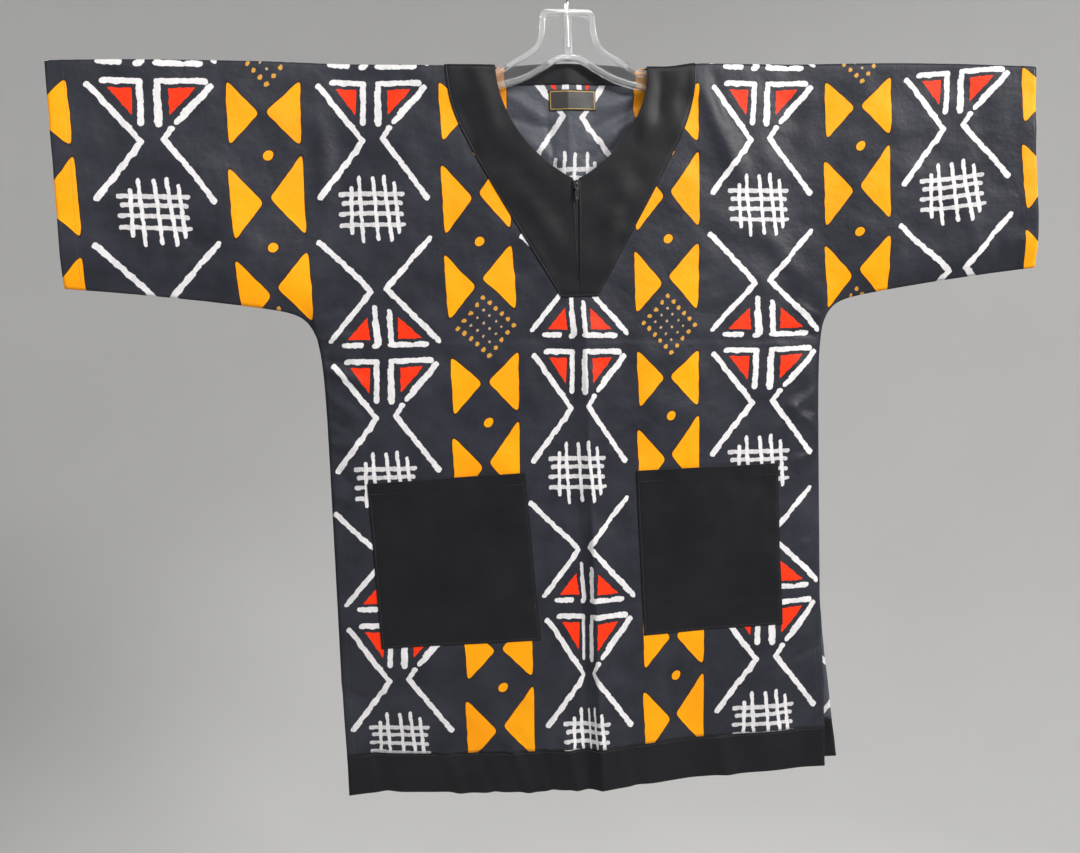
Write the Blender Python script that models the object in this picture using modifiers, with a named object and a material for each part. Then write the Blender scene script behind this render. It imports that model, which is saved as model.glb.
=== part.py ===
"""Printed cotton dashiki shirt with a plain V yoke, hanging on a clear plastic hanger.

Units are metres, +Z is up and the front faces -Y. The origin is the inside of the hook's crown,
where a rail carries the hanger. Cloth is worked out in the shirt's own sizes: u runs across the
shirt from its centre, towards the viewer's right, and w runs down from the shoulder line.
"""
import math
from collections import namedtuple

import bmesh
import bpy
import numpy as np

FRONT, BACK = -1, 1

# Driving sizes of the shirt
SHOULDER_Z = -0.118
GARMENT_X = 0.003
LENGTH = 0.848
CHEST_HALF = 0.2905
ARMPIT_X = 0.297
ARMPIT_W = 0.297
ARMPIT_FADE = 0.030
SLEEVE_HALF_SPAN = 0.5315
CUFF_HEIGHT = 0.224
SLEEVE_RISE = 0.205
SLEEVE_FILLET = 0.009
NECK_HALF = 0.0875
NECK_DEPTH = 0.126
NECK_POWER = 0.8
BACK_NECK_RISE = 0.006
BACK_NECK_FADE = 0.030
NECK_CORNER = 0.0805
YOKE_HALF = 0.147
YOKE_LENGTH = 0.259
YOKE_TIP_HALF = 0.0225
YOKE_SLOPE = 0.588
YOKE_ROUND = 0.020
SLIT_HALF = 0.0012
SLIT_END = 0.234
BAND_TOP = 0.798
VENT_TOP = 0.632
FACING_DEPTH = 0.019
FACING_HALF = 0.076
LABEL_LEFT, LABEL_RIGHT = -0.0255, 0.0285
LABEL_TOP, LABEL_BOTTOM = 0.024, 0.046
ZIP_TOP, ZIP_BOTTOM = 0.1275, 0.246
ZIP_HALF = 0.011

# Cloth thickness and the gaps between pieces
CLOTH = 0.0014
TRIM = 0.0012
BAND = 0.0018
LABEL = 0.0010
GAP = 0.0003
SEAM_HALF = 0.0002

# How the cloth hangs
BODY_DEPTH = 0.008
HEM_DEPTH = 0.0025
HEM_START, HEM_SPREAD = 0.500, 0.350
CUFF_DEPTH = -0.0015
CUFF_START, CUFF_SPREAD = 0.300, 0.230
FOLD_RADIUS = 0.0055
RIDGE_HALF = 0.0003
SEAM_DEPTH = 0.0009
SEAM_RAMP = 0.040
VENT_SPREAD = 0.25
SLEEVE_BEND_START = 0.25
SLEEVE_BEND_ROUND = 0.08
SLEEVE_FORWARD = 0.244
SLEEVE_DROOP = 0.017
BACK_SWING = 0.026
CORNER_BACK = 0.028
CORNER_LIFT = 0.010
CORNER_TOP = 0.620
CORNER_INNER = 0.020

# Hanger
HANGER_DEPTH = 0.009
HANGER_WEB = 0.003
HANGER_RIM = 0.006
BOSS_HALF = 0.004
HOOK_INNER = 0.019
WIRE = 0.0019
WIRE_FOOT_Z = -0.096
STEM_TOP_Z = -0.050
HOOK_START, HOOK_END = -50, 205
STEM_STEPS = 6
RING_POINTS = 27
BORE_SIDES = 16

# Zip slider and its pull
SLIDER_W = 0.1325
SLIDER_SIZE = (0.0075, 0.0022, 0.0090)
SLIDER_BEVEL = 0.0006
BESIDE_ZIP = 0.004
BAIL_INNER = 0.0011
BAIL_OUTER = 0.0020
BAIL_WIDTH = 0.0012
BAIL_STEPS = 8
BAIL_STAND = 0.0003
BAIL_ROOT = 0.0008
PULL_BAR = 0.00055
PULL_LENGTH = 0.0185
PULL_HALF = 0.0021
PULL_EYE_HALF = 0.0011
PULL_EYE_END = 0.0025
PULL_THICKNESS = 0.0010

Fold = namedtuple("Fold", "side u_start w_start u_end w_end half_width height")
FOLDS = (
    Fold(FRONT, 0.004, 0.310, 0.008, 0.900, 0.011, 0.0034),
    Fold(FRONT, -0.330, 0.310, 0.330, 0.310, 0.012, -0.0012),
    Fold(FRONT, -0.330, 0.615, 0.330, 0.615, 0.012, -0.0012),
    Fold(FRONT, -0.195, 0.730, -0.205, 0.900, 0.034, 0.0035),
    Fold(FRONT, -0.095, 0.740, -0.100, 0.900, 0.030, -0.0030),
    Fold(FRONT, 0.115, 0.740, 0.120, 0.900, 0.030, -0.0030),
    Fold(FRONT, 0.215, 0.700, 0.225, 0.900, 0.034, 0.0030),
    Fold(FRONT, 0.175, 0.050, 0.225, 0.110, 0.020, 0.0030),
    Fold(FRONT, 0.330, 0.245, 0.430, 0.060, 0.030, 0.0025),
    Fold(FRONT, -0.330, 0.245, -0.430, 0.060, 0.030, 0.0025),
    Fold(BACK, -0.004, 0.060, 0.000, 0.900, 0.011, 0.0030),
    Fold(BACK, -0.330, 0.310, 0.330, 0.310, 0.012, -0.0012),
    Fold(BACK, -0.330, 0.615, 0.330, 0.615, 0.012, -0.0012),
    Fold(BACK, -0.150, 0.720, -0.160, 0.900, 0.036, 0.0035),
    Fold(BACK, 0.150, 0.700, 0.165, 0.900, 0.036, 0.0035),
    Fold(BACK, 0.330, 0.240, 0.420, 0.060, 0.030, 0.0025),
    Fold(BACK, -0.330, 0.240, -0.420, 0.060, 0.030, 0.0025),
)

Pocket = namedtuple("Pocket", "name left_top right_top left_bottom right_bottom top bottom")
POCKETS = (
    Pocket("pocket_left", -0.248, -0.070, -0.241, -0.058, 0.463, 0.661),
    Pocket("pocket_right", 0.061, 0.2365, 0.065, 0.239, 0.463, 0.661),
)

# Right half of the hanger's outline, from the top of the head round to the arch under it
Station = namedtuple("Station", "x height")
HANGER_EDGE = (
    Station(0.0265, 0.0630), Station(0.0292, 0.0618), Station(0.0305, 0.0590), Station(0.0315, 0.0460),
    Station(0.0335, 0.0340), Station(0.0365, 0.0260), Station(0.0420, 0.0195), Station(0.0500, 0.0142),
    Station(0.0600, 0.0088), Station(0.0690, 0.0036), Station(0.0740, 0.0002), Station(0.0780, -0.0018),
    Station(0.1050, -0.0020), Station(0.1400, -0.0085), Station(0.1800, -0.0170), Station(0.2020, -0.0235),
    Station(0.2120, -0.0290), Station(0.2160, -0.0370), Station(0.2120, -0.0460), Station(0.2020, -0.0495),
    Station(0.1600, -0.0400), Station(0.1200, -0.0315), Station(0.0850, -0.0245), Station(0.0600, -0.0180),
    Station(0.0480, -0.0140), Station(0.0360, -0.0080), Station(0.0280, -0.0015), Station(0.0225, 0.0045),
    Station(0.0160, 0.0080), Station(0.0080, 0.0076),
)

HEAD_CORNER = 2

# Welding distance and the step used to find the cloth's slope
WELD = 0.00001
SLOPE_STEP = 0.00002

# Grid lines: heights down the cloth and shares of the way from the inner edge to the side
FOLD_STEPS = 3
FRONT_ROWS = (0.014, 0.031, 0.056, 0.084, 0.107, 0.120, 0.126, 0.152, 0.190, 0.234, 0.259, 0.277, 0.288,
              ARMPIT_W)
BACK_ROWS = (FACING_DEPTH, 0.050, 0.100, 0.150, 0.200, 0.240, 0.259, 0.277, 0.288, ARMPIT_W)
BODY_ROWS = (0.310, 0.323, 0.350, 0.400, 0.450, 0.500, 0.550, 0.602, 0.615, 0.628, 0.665, 0.710, 0.755)
BAND_ROWS = 2
RIDGE_COLUMNS = (0.125, 0.170, 0.215, 0.255, 0.277, ARMPIT_X)
FRONT_SHARES = (0.0, 0.030, 0.075, *((x - NECK_HALF) / (ARMPIT_X - NECK_HALF) for x in RIDGE_COLUMNS))
BACK_NECK_COLUMNS = (0.0, 0.010, 0.024, 0.050, 0.076, 0.0805, 0.084, 0.0875)
SLEEVE_SHARES = (0.0, 0.025, 0.080, 0.230, 0.430, 0.640, 0.840, 1.0)
YOKE_SHARES = (0.0, 0.35, 0.70, 1.0)
POCKET_ROWS = (0.500, 0.550, 0.602, 0.615, 0.628)
POCKET_SHARES = (0.0, 0.25, 0.5, 0.75, 1.0)


def smooth(share):
    """Rise from 0 to 1 with level ends."""
    share = np.clip(share, 0.0, 1.0)
    return share * share * (3.0 - 2.0 * share)


def side_x(w):
    """Half width of the body at a height, wider towards the armpit."""
    return CHEST_HALF + (ARMPIT_X - CHEST_HALF) * np.exp(-np.maximum(w - ARMPIT_W, 0.0) / ARMPIT_FADE)


def underside_w(across):
    """Height of the sleeve's lower edge: a slanting line that curves down into the armpit."""
    line = CUFF_HEIGHT + SLEEVE_RISE * (SLEEVE_HALF_SPAN - across)
    corner = CUFF_HEIGHT + SLEEVE_RISE * (SLEEVE_HALF_SPAN - ARMPIT_X)
    return line + (ARMPIT_W - corner) * np.exp(-(across - ARMPIT_X) / SLEEVE_FILLET)


def neck_x(w):
    """Half width of the front neckline, a V with a round point."""
    return NECK_HALF * np.maximum(1.0 - (w / NECK_DEPTH) ** 2, 0.0) ** NECK_POWER


def front_inner_x(w):
    """Inner edge of the front: the neckline, then the slit for the zip, then the centre."""
    return np.where(w < SLIT_END - GAP, np.maximum(neck_x(np.minimum(w, NECK_DEPTH)), SLIT_HALF), 0.0)


def yoke_x(w):
    """Outer edge of the yoke: a slanting line blended into an upright one near the shoulder."""
    line = YOKE_TIP_HALF + YOKE_SLOPE * (YOKE_LENGTH - w)
    return 0.5 * (line + YOKE_HALF - np.sqrt((line - YOKE_HALF) ** 2 + YOKE_ROUND ** 2))


def seam_distance(across, w):
    """Distance to the side seam or the sleeve's lower seam, growing again down the vent."""
    below = np.hypot(side_x(w) - across, np.maximum(w - VENT_TOP, 0.0) * VENT_SPREAD)
    sleeve = underside_w(np.maximum(across, ARMPIT_X)) - w
    inside = np.hypot(ARMPIT_X - across, ARMPIT_W - w)
    above = np.where(across > ARMPIT_X, sleeve, inside)
    return np.maximum(np.where(w >= ARMPIT_W, below, above), 0.0)


def fold_relief(side, u, w):
    """Outward height of the large folds: a soft ridge or trough along each line."""
    relief = np.zeros_like(u)
    for fold in FOLDS:
        if fold.side != side:
            continue
        run_u = fold.u_end - fold.u_start
        run_w = fold.w_end - fold.w_start
        length = math.hypot(run_u, run_w)
        along = ((u - fold.u_start) * run_u + (w - fold.w_start) * run_w) / length
        away = ((u - fold.u_start) * run_w - (w - fold.w_start) * run_u) / length
        ends = smooth(along / (3.0 * fold.half_width)) * smooth((length - along) / (3.0 * fold.half_width))
        relief = relief + fold.height * np.exp(-(away / fold.half_width) ** 2) * ends
    return relief


def cloth_depth(side, u, w):
    """Distance of the cloth's middle from the shirt's middle plane, closed at folds and seams."""
    across = np.abs(u)
    fold_share = np.clip(1.0 - w / FOLD_RADIUS, 0.0, 1.0)
    shoulder = np.sqrt(1.0 - fold_share ** 2)
    if side == BACK:
        closed = smooth((across - NECK_CORNER) / (NECK_HALF - NECK_CORNER))
        shoulder = 1.0 - (1.0 - shoulder) * closed
    hem = HEM_DEPTH * smooth((w - HEM_START) / HEM_SPREAD)
    cuff = CUFF_DEPTH * smooth((across - CUFF_START) / CUFF_SPREAD)
    seam_share = np.sin(0.5 * math.pi * np.minimum(seam_distance(across, w) / SEAM_RAMP, 1.0))
    open_depth = BODY_DEPTH + hem + cuff + fold_relief(side, u, w)
    full = SEAM_DEPTH + (open_depth - SEAM_DEPTH) * seam_share
    return RIDGE_HALF + (full - RIDGE_HALF) * shoulder


def cloth_point(side, u, w):
    """Place of a point of the front or back, in metres."""
    across = np.abs(u)
    beyond = np.maximum(across - SLEEVE_BEND_START, 0.0)
    forward = SLEEVE_FORWARD * beyond ** 2 / (beyond + SLEEVE_BEND_ROUND)
    droop = SLEEVE_DROOP * (beyond / (SLEEVE_HALF_SPAN - SLEEVE_BEND_START)) ** 2
    corner = smooth((w - CORNER_TOP) / (LENGTH - CORNER_TOP))
    corner = corner * smooth((-u - CORNER_INNER) / (CHEST_HALF - CORNER_INNER))
    x = GARMENT_X + u
    y = side * cloth_depth(side, u, w) - forward + CORNER_BACK * corner
    z = SHOULDER_Z - w - droop + CORNER_LIFT * corner
    if side == BACK:
        x = x + BACK_SWING * np.maximum(w - VENT_TOP, 0.0) / (LENGTH - VENT_TOP)
        rise = BACK_NECK_RISE * np.maximum(1.0 - (across / NECK_HALF) ** 2, 0.0)
        z = z + rise * np.maximum(1.0 - w / BACK_NECK_FADE, 0.0)
    return np.stack([x, y, z], axis=-1)


def moved_out(side, u, w, out):
    """Point of the cloth moved outwards along its normal, or inwards for a negative distance."""
    across = cloth_point(side, u + SLOPE_STEP, w) - cloth_point(side, u - SLOPE_STEP, w)
    down = cloth_point(side, u, w + SLOPE_STEP) - cloth_point(side, u, np.maximum(w - SLOPE_STEP, 0.0))
    normal = side * np.cross(across, down)
    normal /= np.linalg.norm(normal, axis=-1, keepdims=True)
    return cloth_point(side, u, w) + out * normal


def material(name, colour, roughness, metallic=0.0, alpha=1.0):
    """Plain Principled material."""
    found = bpy.data.materials.new(name)
    found.use_nodes = True
    shader = found.node_tree.nodes["Principled BSDF"]
    shader.inputs["Base Color"].default_value = (*colour, 1.0)
    shader.inputs["Roughness"].default_value = roughness
    shader.inputs["Metallic"].default_value = metallic
    shader.inputs["Alpha"].default_value = alpha
    return found


def add_object(name, data, finish, collection):
    """Put a mesh or curve into the collection with its material."""
    part = bpy.data.objects.new(name, data)
    data.materials.append(finish)
    collection.objects.link(part)
    return part


def add_patch(bm, columns, rows, place):
    """Grid of one cell between neighbouring columns and rows, each point put where place says."""
    made = bmesh.ops.create_grid(bm, x_segments=len(columns) - 1, y_segments=len(rows) - 1, size=0.5)
    grid = made["verts"]
    column = np.array([round((v.co.x + 0.5) * (len(columns) - 1)) for v in grid])
    row = np.array([round((v.co.y + 0.5) * (len(rows) - 1)) for v in grid])
    points = place(np.array(columns, float)[column], np.array(rows, float)[row])
    for vertex, point in zip(grid, points):
        vertex.co = point


def add_cloth(name, patches, thickness, finish, collection):
    """Open surface joined from patches, given its thickness by Solidify."""
    bm = bmesh.new()
    for columns, rows, place in patches:
        add_patch(bm, columns, rows, place)
    bmesh.ops.remove_doubles(bm, verts=bm.verts, dist=WELD)
    bmesh.ops.recalc_face_normals(bm, faces=bm.faces)
    mesh = bpy.data.meshes.new(name)
    bm.to_mesh(mesh)
    bm.free()
    part = add_object(name, mesh, finish, collection)
    wall = part.modifiers.new("Cloth thickness", "SOLIDIFY")
    wall.thickness = thickness
    wall.offset = 0.0
    return part


def shoulder_rows():
    """Heights of the rows that round the cloth over the shoulder, at even angles."""
    return [FOLD_RADIUS * (1.0 - math.cos(0.5 * math.pi * k / FOLD_STEPS)) for k in range(FOLD_STEPS + 1)]


def sleeve_place(side, hand):
    """Place of a sleeve point: rows below the shoulder close up as the sleeve narrows."""
    def place(share, w):
        across = ARMPIT_X + (SLEEVE_HALF_SPAN - ARMPIT_X) * share
        squeeze = (underside_w(across) - FOLD_RADIUS) / (ARMPIT_W - FOLD_RADIUS)
        below = FOLD_RADIUS + (w - FOLD_RADIUS) * squeeze
        return cloth_point(side, hand * across, np.where(w > FOLD_RADIUS, below, w))
    return place


def front_place(hand):
    """Place of a front body point between the inner edge and the side."""
    def place(share, w):
        inner = front_inner_x(w)
        return cloth_point(FRONT, hand * (inner + (side_x(w) - inner) * share), w)
    return place


def back_place(hand):
    """Place of a back body point, by its distance from the centre in the armpit row."""
    def place(across, w):
        return cloth_point(BACK, hand * across * side_x(w) / ARMPIT_X, w)
    return place


def make_front(finish, collection):
    """Front with both half sleeves in one piece, the V neck and the slit for the zip."""
    upper = [*shoulder_rows(), *FRONT_ROWS]
    rows = [*upper, *BODY_ROWS, BAND_TOP - SEAM_HALF]
    patches = []
    for hand in (-1, 1):
        patches.append((FRONT_SHARES, rows, front_place(hand)))
        patches.append((SLEEVE_SHARES, upper, sleeve_place(FRONT, hand)))
    add_cloth("front_panel", patches, CLOTH, finish, collection)


def make_back(finish, collection):
    """Back with both half sleeves in one piece and a nearly straight neckline."""
    upper = [*shoulder_rows(), *BACK_ROWS]
    rows = [*upper, *BODY_ROWS, BAND_TOP - SEAM_HALF]
    patches = []
    for hand in (-1, 1):
        patches.append(((*BACK_NECK_COLUMNS, *RIDGE_COLUMNS), rows, back_place(hand)))
        patches.append((SLEEVE_SHARES, upper, sleeve_place(BACK, hand)))
    add_cloth("back_panel", patches, CLOTH, finish, collection)


def make_bands(finish, collection):
    """Plain band that finishes the hem of the front and of the back."""
    rows = np.linspace(BAND_TOP + SEAM_HALF, LENGTH, BAND_ROWS + 1)
    for side, name in ((FRONT, "hem_band_front"), (BACK, "hem_band_back")):
        shares = FRONT_SHARES if side == FRONT else (*BACK_NECK_COLUMNS, *RIDGE_COLUMNS)
        shares = np.array(shares) / max(shares)

        def place(share, w, side=side):
            return cloth_point(side, share * side_x(w), w)

        columns = [*(-shares[:0:-1]), *shares]
        add_cloth(name, [(columns, rows, place)], BAND, finish, collection)


def make_yoke(finish, collection):
    """Two halves of the plain yoke, which meet in a seam below the zip."""
    rows = [*shoulder_rows(), *(w for w in FRONT_ROWS if w < YOKE_LENGTH), YOKE_LENGTH]
    out = 0.5 * CLOTH + GAP + 0.5 * TRIM
    for hand, name in ((-1, "yoke_left"), (1, "yoke_right")):
        def place(share, w, hand=hand):
            inner = np.maximum(front_inner_x(w), SEAM_HALF)
            return moved_out(FRONT, hand * (inner + (yoke_x(w) - inner) * share), w, out)

        add_cloth(name, [(YOKE_SHARES, rows, place)], TRIM, finish, collection)


def make_facing(finish, collection):
    """Plain strip inside the back neck."""
    inward = -(0.5 * CLOTH + GAP + 0.5 * TRIM)
    half = [c for c in BACK_NECK_COLUMNS if c <= FACING_HALF]
    columns = [*(-c for c in half[:0:-1]), *half]

    def place(u, w):
        return moved_out(BACK, u, w, inward)

    rows = (0.0, 0.5 * FACING_DEPTH, FACING_DEPTH)
    add_cloth("neck_facing", [(columns, rows, place)], TRIM, finish, collection)


def make_label(finish, collection):
    """Bare label on the inside of the back, under the facing."""
    inward = -(0.5 * CLOTH + GAP + 0.5 * LABEL)
    crease = BACK_NECK_COLUMNS[1]
    columns = (LABEL_LEFT, -crease, 0.0, crease, LABEL_RIGHT)

    def place(u, w):
        return moved_out(BACK, u, w, inward)

    rows = (LABEL_TOP, LABEL_BOTTOM)
    add_cloth("neck_label", [(columns, rows, place)], LABEL, finish, collection)


def make_pockets(finish, collection):
    """Patch pockets on the front, with level top and bottom edges and slightly leaning sides."""
    out = 0.5 * CLOTH + GAP + 0.5 * TRIM
    for pocket in POCKETS:
        def place(share, w, pocket=pocket):
            down = (w - pocket.top) / (pocket.bottom - pocket.top)
            left = pocket.left_top + (pocket.left_bottom - pocket.left_top) * down
            right = pocket.right_top + (pocket.right_bottom - pocket.right_top) * down
            return moved_out(FRONT, left + (right - left) * share, w, out)

        rows = (pocket.top, *POCKET_ROWS, pocket.bottom)
        add_cloth(pocket.name, [(POCKET_SHARES, rows, place)], TRIM, finish, collection)


def make_zip_tape(finish, collection):
    """Closed zip behind the slit, as one strip with its teeth."""
    inward = -(0.5 * CLOTH + GAP + 0.5 * TRIM)

    def place(u, w):
        return moved_out(FRONT, u, w, inward)

    rows = np.linspace(ZIP_TOP, ZIP_BOTTOM, 5)
    add_cloth("zip_tape", [((-ZIP_HALF, 0.0, ZIP_HALF), rows, place)], TRIM, finish, collection)


def mesh_from_curve(part):
    """Replace a curve object by its welded mesh, with the place applied."""
    mesh = bpy.data.meshes.new_from_object(part.evaluated_get(bpy.context.evaluated_depsgraph_get()))
    mesh.transform(part.matrix_world)
    bm = bmesh.new()
    bm.from_mesh(mesh)
    bmesh.ops.remove_doubles(bm, verts=bm.verts, dist=WELD)
    bmesh.ops.recalc_face_normals(bm, faces=bm.faces)
    bm.to_mesh(mesh)
    bm.free()
    collection = part.users_collection[0]
    name = part.name
    bpy.data.objects.remove(part)
    solid = bpy.data.objects.new(name, mesh)
    collection.objects.link(solid)
    return solid


def outline_plate(name, outlines, thickness, middle_y, finish, collection):
    """Flat plate from closed outlines in X and Z, as thick as given along Y."""
    curve = bpy.data.curves.new(name, "CURVE")
    curve.dimensions = "2D"
    curve.fill_mode = "BOTH"
    curve.extrude = 0.5 * thickness
    for outline in outlines:
        spline = curve.splines.new("POLY")
        spline.points.add(len(outline) - 1)
        spline.points.foreach_set("co", np.array([(x, z, 0.0, 1.0) for x, z in outline]).ravel())
        spline.use_cyclic_u = True
    part = add_object(name, curve, finish, collection)
    part.location = (0.0, middle_y, 0.0)
    part.rotation_euler = (0.5 * math.pi, 0.0, 0.0)
    bpy.context.view_layer.update()
    return mesh_from_curve(part)


def inset(outline, distance):
    """Move each point of a clockwise outline inwards, square to the line through its neighbours."""
    points = np.array(outline)
    along = np.roll(points, -1, axis=0) - np.roll(points, 1, axis=0)
    along /= np.linalg.norm(along, axis=1, keepdims=True)
    return points + distance * np.stack([along[:, 1], -along[:, 0]], axis=1)


def cut(part, cutters):
    """Take the cutters away from a part."""
    for cutter in cutters:
        cutter.hide_render = True
        cutter.display_type = "WIRE"
        step = part.modifiers.new("Cut " + cutter.name, "BOOLEAN")
        step.operation = "DIFFERENCE"
        step.object = cutter


def make_hanger_body(finish, collection, cutters):
    """Moulded hanger: a web with a rim all round, thick at the boss that holds the hook's wire."""
    right = [(s.x, SHOULDER_Z + s.height) for s in HANGER_EDGE]
    left = [(-x, z) for x, z in reversed(right)]
    body = outline_plate("hanger_body", [right + left], HANGER_DEPTH, 0.0, finish, collection)
    recess = 0.5 * (HANGER_DEPTH - HANGER_WEB)
    corner = (right[HEAD_CORNER][0], right[0][1])
    inner = inset([corner, *right[HEAD_CORNER:], (BOSS_HALF, right[-1][1])], HANGER_RIM)
    inner[0] = (corner[0] - HANGER_RIM, corner[1] - HANGER_RIM)
    inner[-1] = (BOSS_HALF, right[-1][1] + HANGER_RIM)
    inner = [(BOSS_HALF, inner[0][1]), *inner]
    tools = []
    for hand, word in ((1, "right"), (-1, "left")):
        for face, middle in (("front", -0.5 * HANGER_DEPTH), ("back", 0.5 * HANGER_DEPTH)):
            outline = [(hand * x, z) for x, z in inner]
            name = "recess_" + word + "_" + face
            tools.append(outline_plate(name, [outline], 2.0 * recess, middle, finish, cutters))
    bm = bmesh.new()
    top_z = SHOULDER_Z + HANGER_EDGE[0].height
    foot_z = WIRE_FOOT_Z - GAP
    bmesh.ops.create_cone(bm, cap_ends=True, segments=BORE_SIDES, radius1=WIRE + GAP, radius2=WIRE + GAP,
                          depth=2.0 * (top_z - foot_z))
    bmesh.ops.translate(bm, verts=bm.verts, vec=(0.0, 0.0, top_z))
    mesh = bpy.data.meshes.new("wire_bore")
    bm.to_mesh(mesh)
    bm.free()
    tools.append(add_object("wire_bore", mesh, finish, cutters))
    cut(body, tools)


def make_hook(finish, collection):
    """Wire hook: an upright stem that leans right and turns over in a ring towards the left."""
    ring = HOOK_INNER + WIRE
    centre_z = -HOOK_INNER
    stem = [(0.0, WIRE_FOOT_Z), (0.0, 0.5 * (WIRE_FOOT_Z + STEM_TOP_Z)), (0.0, STEM_TOP_Z)]
    start = math.radians(HOOK_START)
    join = np.array([ring * math.cos(start), centre_z + ring * math.sin(start)])
    heading = np.array([-math.sin(start), math.cos(start)])
    foot = np.array([0.0, STEM_TOP_Z])
    reach = np.linalg.norm(join - foot)
    for k in range(1, STEM_STEPS):
        t = k / STEM_STEPS
        lean = ((1 + 2 * t) * (1 - t) ** 2 * foot + t * (1 - t) ** 2 * reach * np.array([0.0, 1.0])
                + t * t * (3 - 2 * t) * join - t * t * (1 - t) * reach * heading)
        stem.append(tuple(lean))
    angles = np.radians(np.linspace(HOOK_START, HOOK_END, RING_POINTS))
    path = stem + [(ring * math.cos(a), centre_z + ring * math.sin(a)) for a in angles]
    curve = bpy.data.curves.new("hanger_hook", "CURVE")
    curve.dimensions = "3D"
    curve.bevel_depth = WIRE
    curve.bevel_resolution = 2
    curve.use_fill_caps = True
    spline = curve.splines.new("POLY")
    spline.points.add(len(path) - 1)
    spline.points.foreach_set("co", np.array([(x, 0.0, z, 1.0) for x, z in path]).ravel())
    add_object("hanger_hook", curve, finish, collection)


def yoke_front_y():
    """Y of the yoke's outer face beside the top of the zip."""
    outer = 0.5 * CLOTH + GAP + TRIM
    return float(moved_out(FRONT, np.array([BESIDE_ZIP]), np.array([SLIDER_W]), outer)[0, 1])


def make_slider(finish, collection):
    """Zip slider: a small plate with a loop on its face that carries the pull."""
    width, depth, height = SLIDER_SIZE
    back_y = yoke_front_y() - GAP
    front_y = back_y - depth
    centre_z = SHOULDER_Z - SLIDER_W
    bm = bmesh.new()
    bmesh.ops.create_cube(bm, size=1.0)
    bmesh.ops.scale(bm, verts=bm.verts, vec=(width, depth, height))
    bmesh.ops.translate(bm, verts=bm.verts, vec=(GARMENT_X, 0.5 * (back_y + front_y), centre_z))
    bmesh.ops.bevel(bm, geom=bm.edges[:], offset=SLIDER_BEVEL, segments=1, affect="EDGES")
    mesh = bpy.data.meshes.new("zip_slider")
    bm.to_mesh(mesh)
    bm.free()
    slider = add_object("zip_slider", mesh, finish, collection)
    axis_y = front_y - BAIL_INNER - BAIL_STAND
    bail = make_bail(front_y, axis_y, centre_z, finish)
    join = slider.modifiers.new("Loop for the pull", "BOOLEAN")
    join.operation = "UNION"
    join.object = bail
    return axis_y, centre_z


def make_bail(front_y, axis_y, centre_z, finish):
    """Loop on the slider: two legs and a half ring, as an outline in Y and Z as wide as the loop."""
    root_y = front_y + BAIL_ROOT
    angles = [0.5 * math.pi + math.pi * k / BAIL_STEPS for k in range(BAIL_STEPS + 1)]
    outer = [(axis_y + BAIL_OUTER * math.cos(a), centre_z + BAIL_OUTER * math.sin(a)) for a in angles]
    inner = [(axis_y + BAIL_INNER * math.cos(a), centre_z + BAIL_INNER * math.sin(a)) for a in angles]
    outline = [(root_y, centre_z + BAIL_OUTER), *outer, (root_y, centre_z - BAIL_OUTER),
               (root_y, centre_z - BAIL_INNER), *reversed(inner), (root_y, centre_z + BAIL_INNER)]
    bm = bmesh.new()
    ring = [bm.verts.new((GARMENT_X - 0.5 * BAIL_WIDTH, y, z)) for y, z in outline]
    face = bm.faces.new(ring)
    grown = bmesh.ops.extrude_face_region(bm, geom=[face])
    moved = [g for g in grown["geom"] if isinstance(g, bmesh.types.BMVert)]
    bmesh.ops.translate(bm, verts=moved, vec=(BAIL_WIDTH, 0.0, 0.0))
    bmesh.ops.recalc_face_normals(bm, faces=bm.faces)
    mesh = bpy.data.meshes.new("bail")
    bm.to_mesh(mesh)
    bm.free()
    bail = add_object("bail", mesh, finish, bpy.data.collections["cutters"])
    bail.hide_render = True
    bail.display_type = "WIRE"
    return bail


def make_pull(axis_y, axis_z, finish, collection):
    """Pull tab hanging from the slider's loop by the bar above its eye."""
    end = PULL_LENGTH - PULL_HALF
    angles = np.linspace(0.0, math.pi, 7)
    round_end = [(PULL_HALF * math.cos(a), -end - PULL_HALF * math.sin(a)) for a in angles]
    outline = [(-PULL_HALF, PULL_BAR), (PULL_HALF, PULL_BAR), *round_end]
    eye = [(PULL_EYE_HALF, -PULL_BAR), (-PULL_EYE_HALF, -PULL_BAR),
           (-PULL_EYE_HALF, -PULL_EYE_END), (PULL_EYE_HALF, -PULL_EYE_END)]
    placed = [[(GARMENT_X + x, axis_z + z) for x, z in shape] for shape in (outline, eye)]
    outline_plate("zip_pull", placed, PULL_THICKNESS, axis_y, finish, collection)


def main():
    """Clear the scene and make every piece."""
    for old in list(bpy.data.objects):
        bpy.data.objects.remove(old)
    shirt = bpy.data.collections.new("dashiki_shirt")
    cutters = bpy.data.collections.new("cutters")
    bpy.context.scene.collection.children.link(shirt)
    bpy.context.scene.collection.children.link(cutters)
    printed = material("printed cotton", (0.027, 0.028, 0.034), 0.9)
    plain = material("plain black cotton", (0.014, 0.014, 0.015), 0.92)
    tape = material("zip tape", (0.010, 0.010, 0.011), 0.85)
    woven = material("woven label", (0.012, 0.011, 0.011), 0.6)
    metal = material("dark zip metal", (0.10, 0.10, 0.10), 0.4, metallic=1.0)
    clear = material("clear plastic", (0.90, 0.93, 0.95), 0.06, alpha=0.35)
    steel = material("plated wire", (0.62, 0.62, 0.60), 0.25, metallic=1.0)
    make_front(printed, shirt)
    make_back(printed, shirt)
    make_bands(plain, shirt)
    make_yoke(plain, shirt)
    make_facing(plain, shirt)
    make_label(woven, shirt)
    make_pockets(plain, shirt)
    make_zip_tape(tape, shirt)
    axis_y, axis_z = make_slider(metal, shirt)
    make_pull(axis_y, axis_z, metal, shirt)
    make_hanger_body(clear, shirt, cutters)
    make_hook(steel, shirt)


main()
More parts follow.
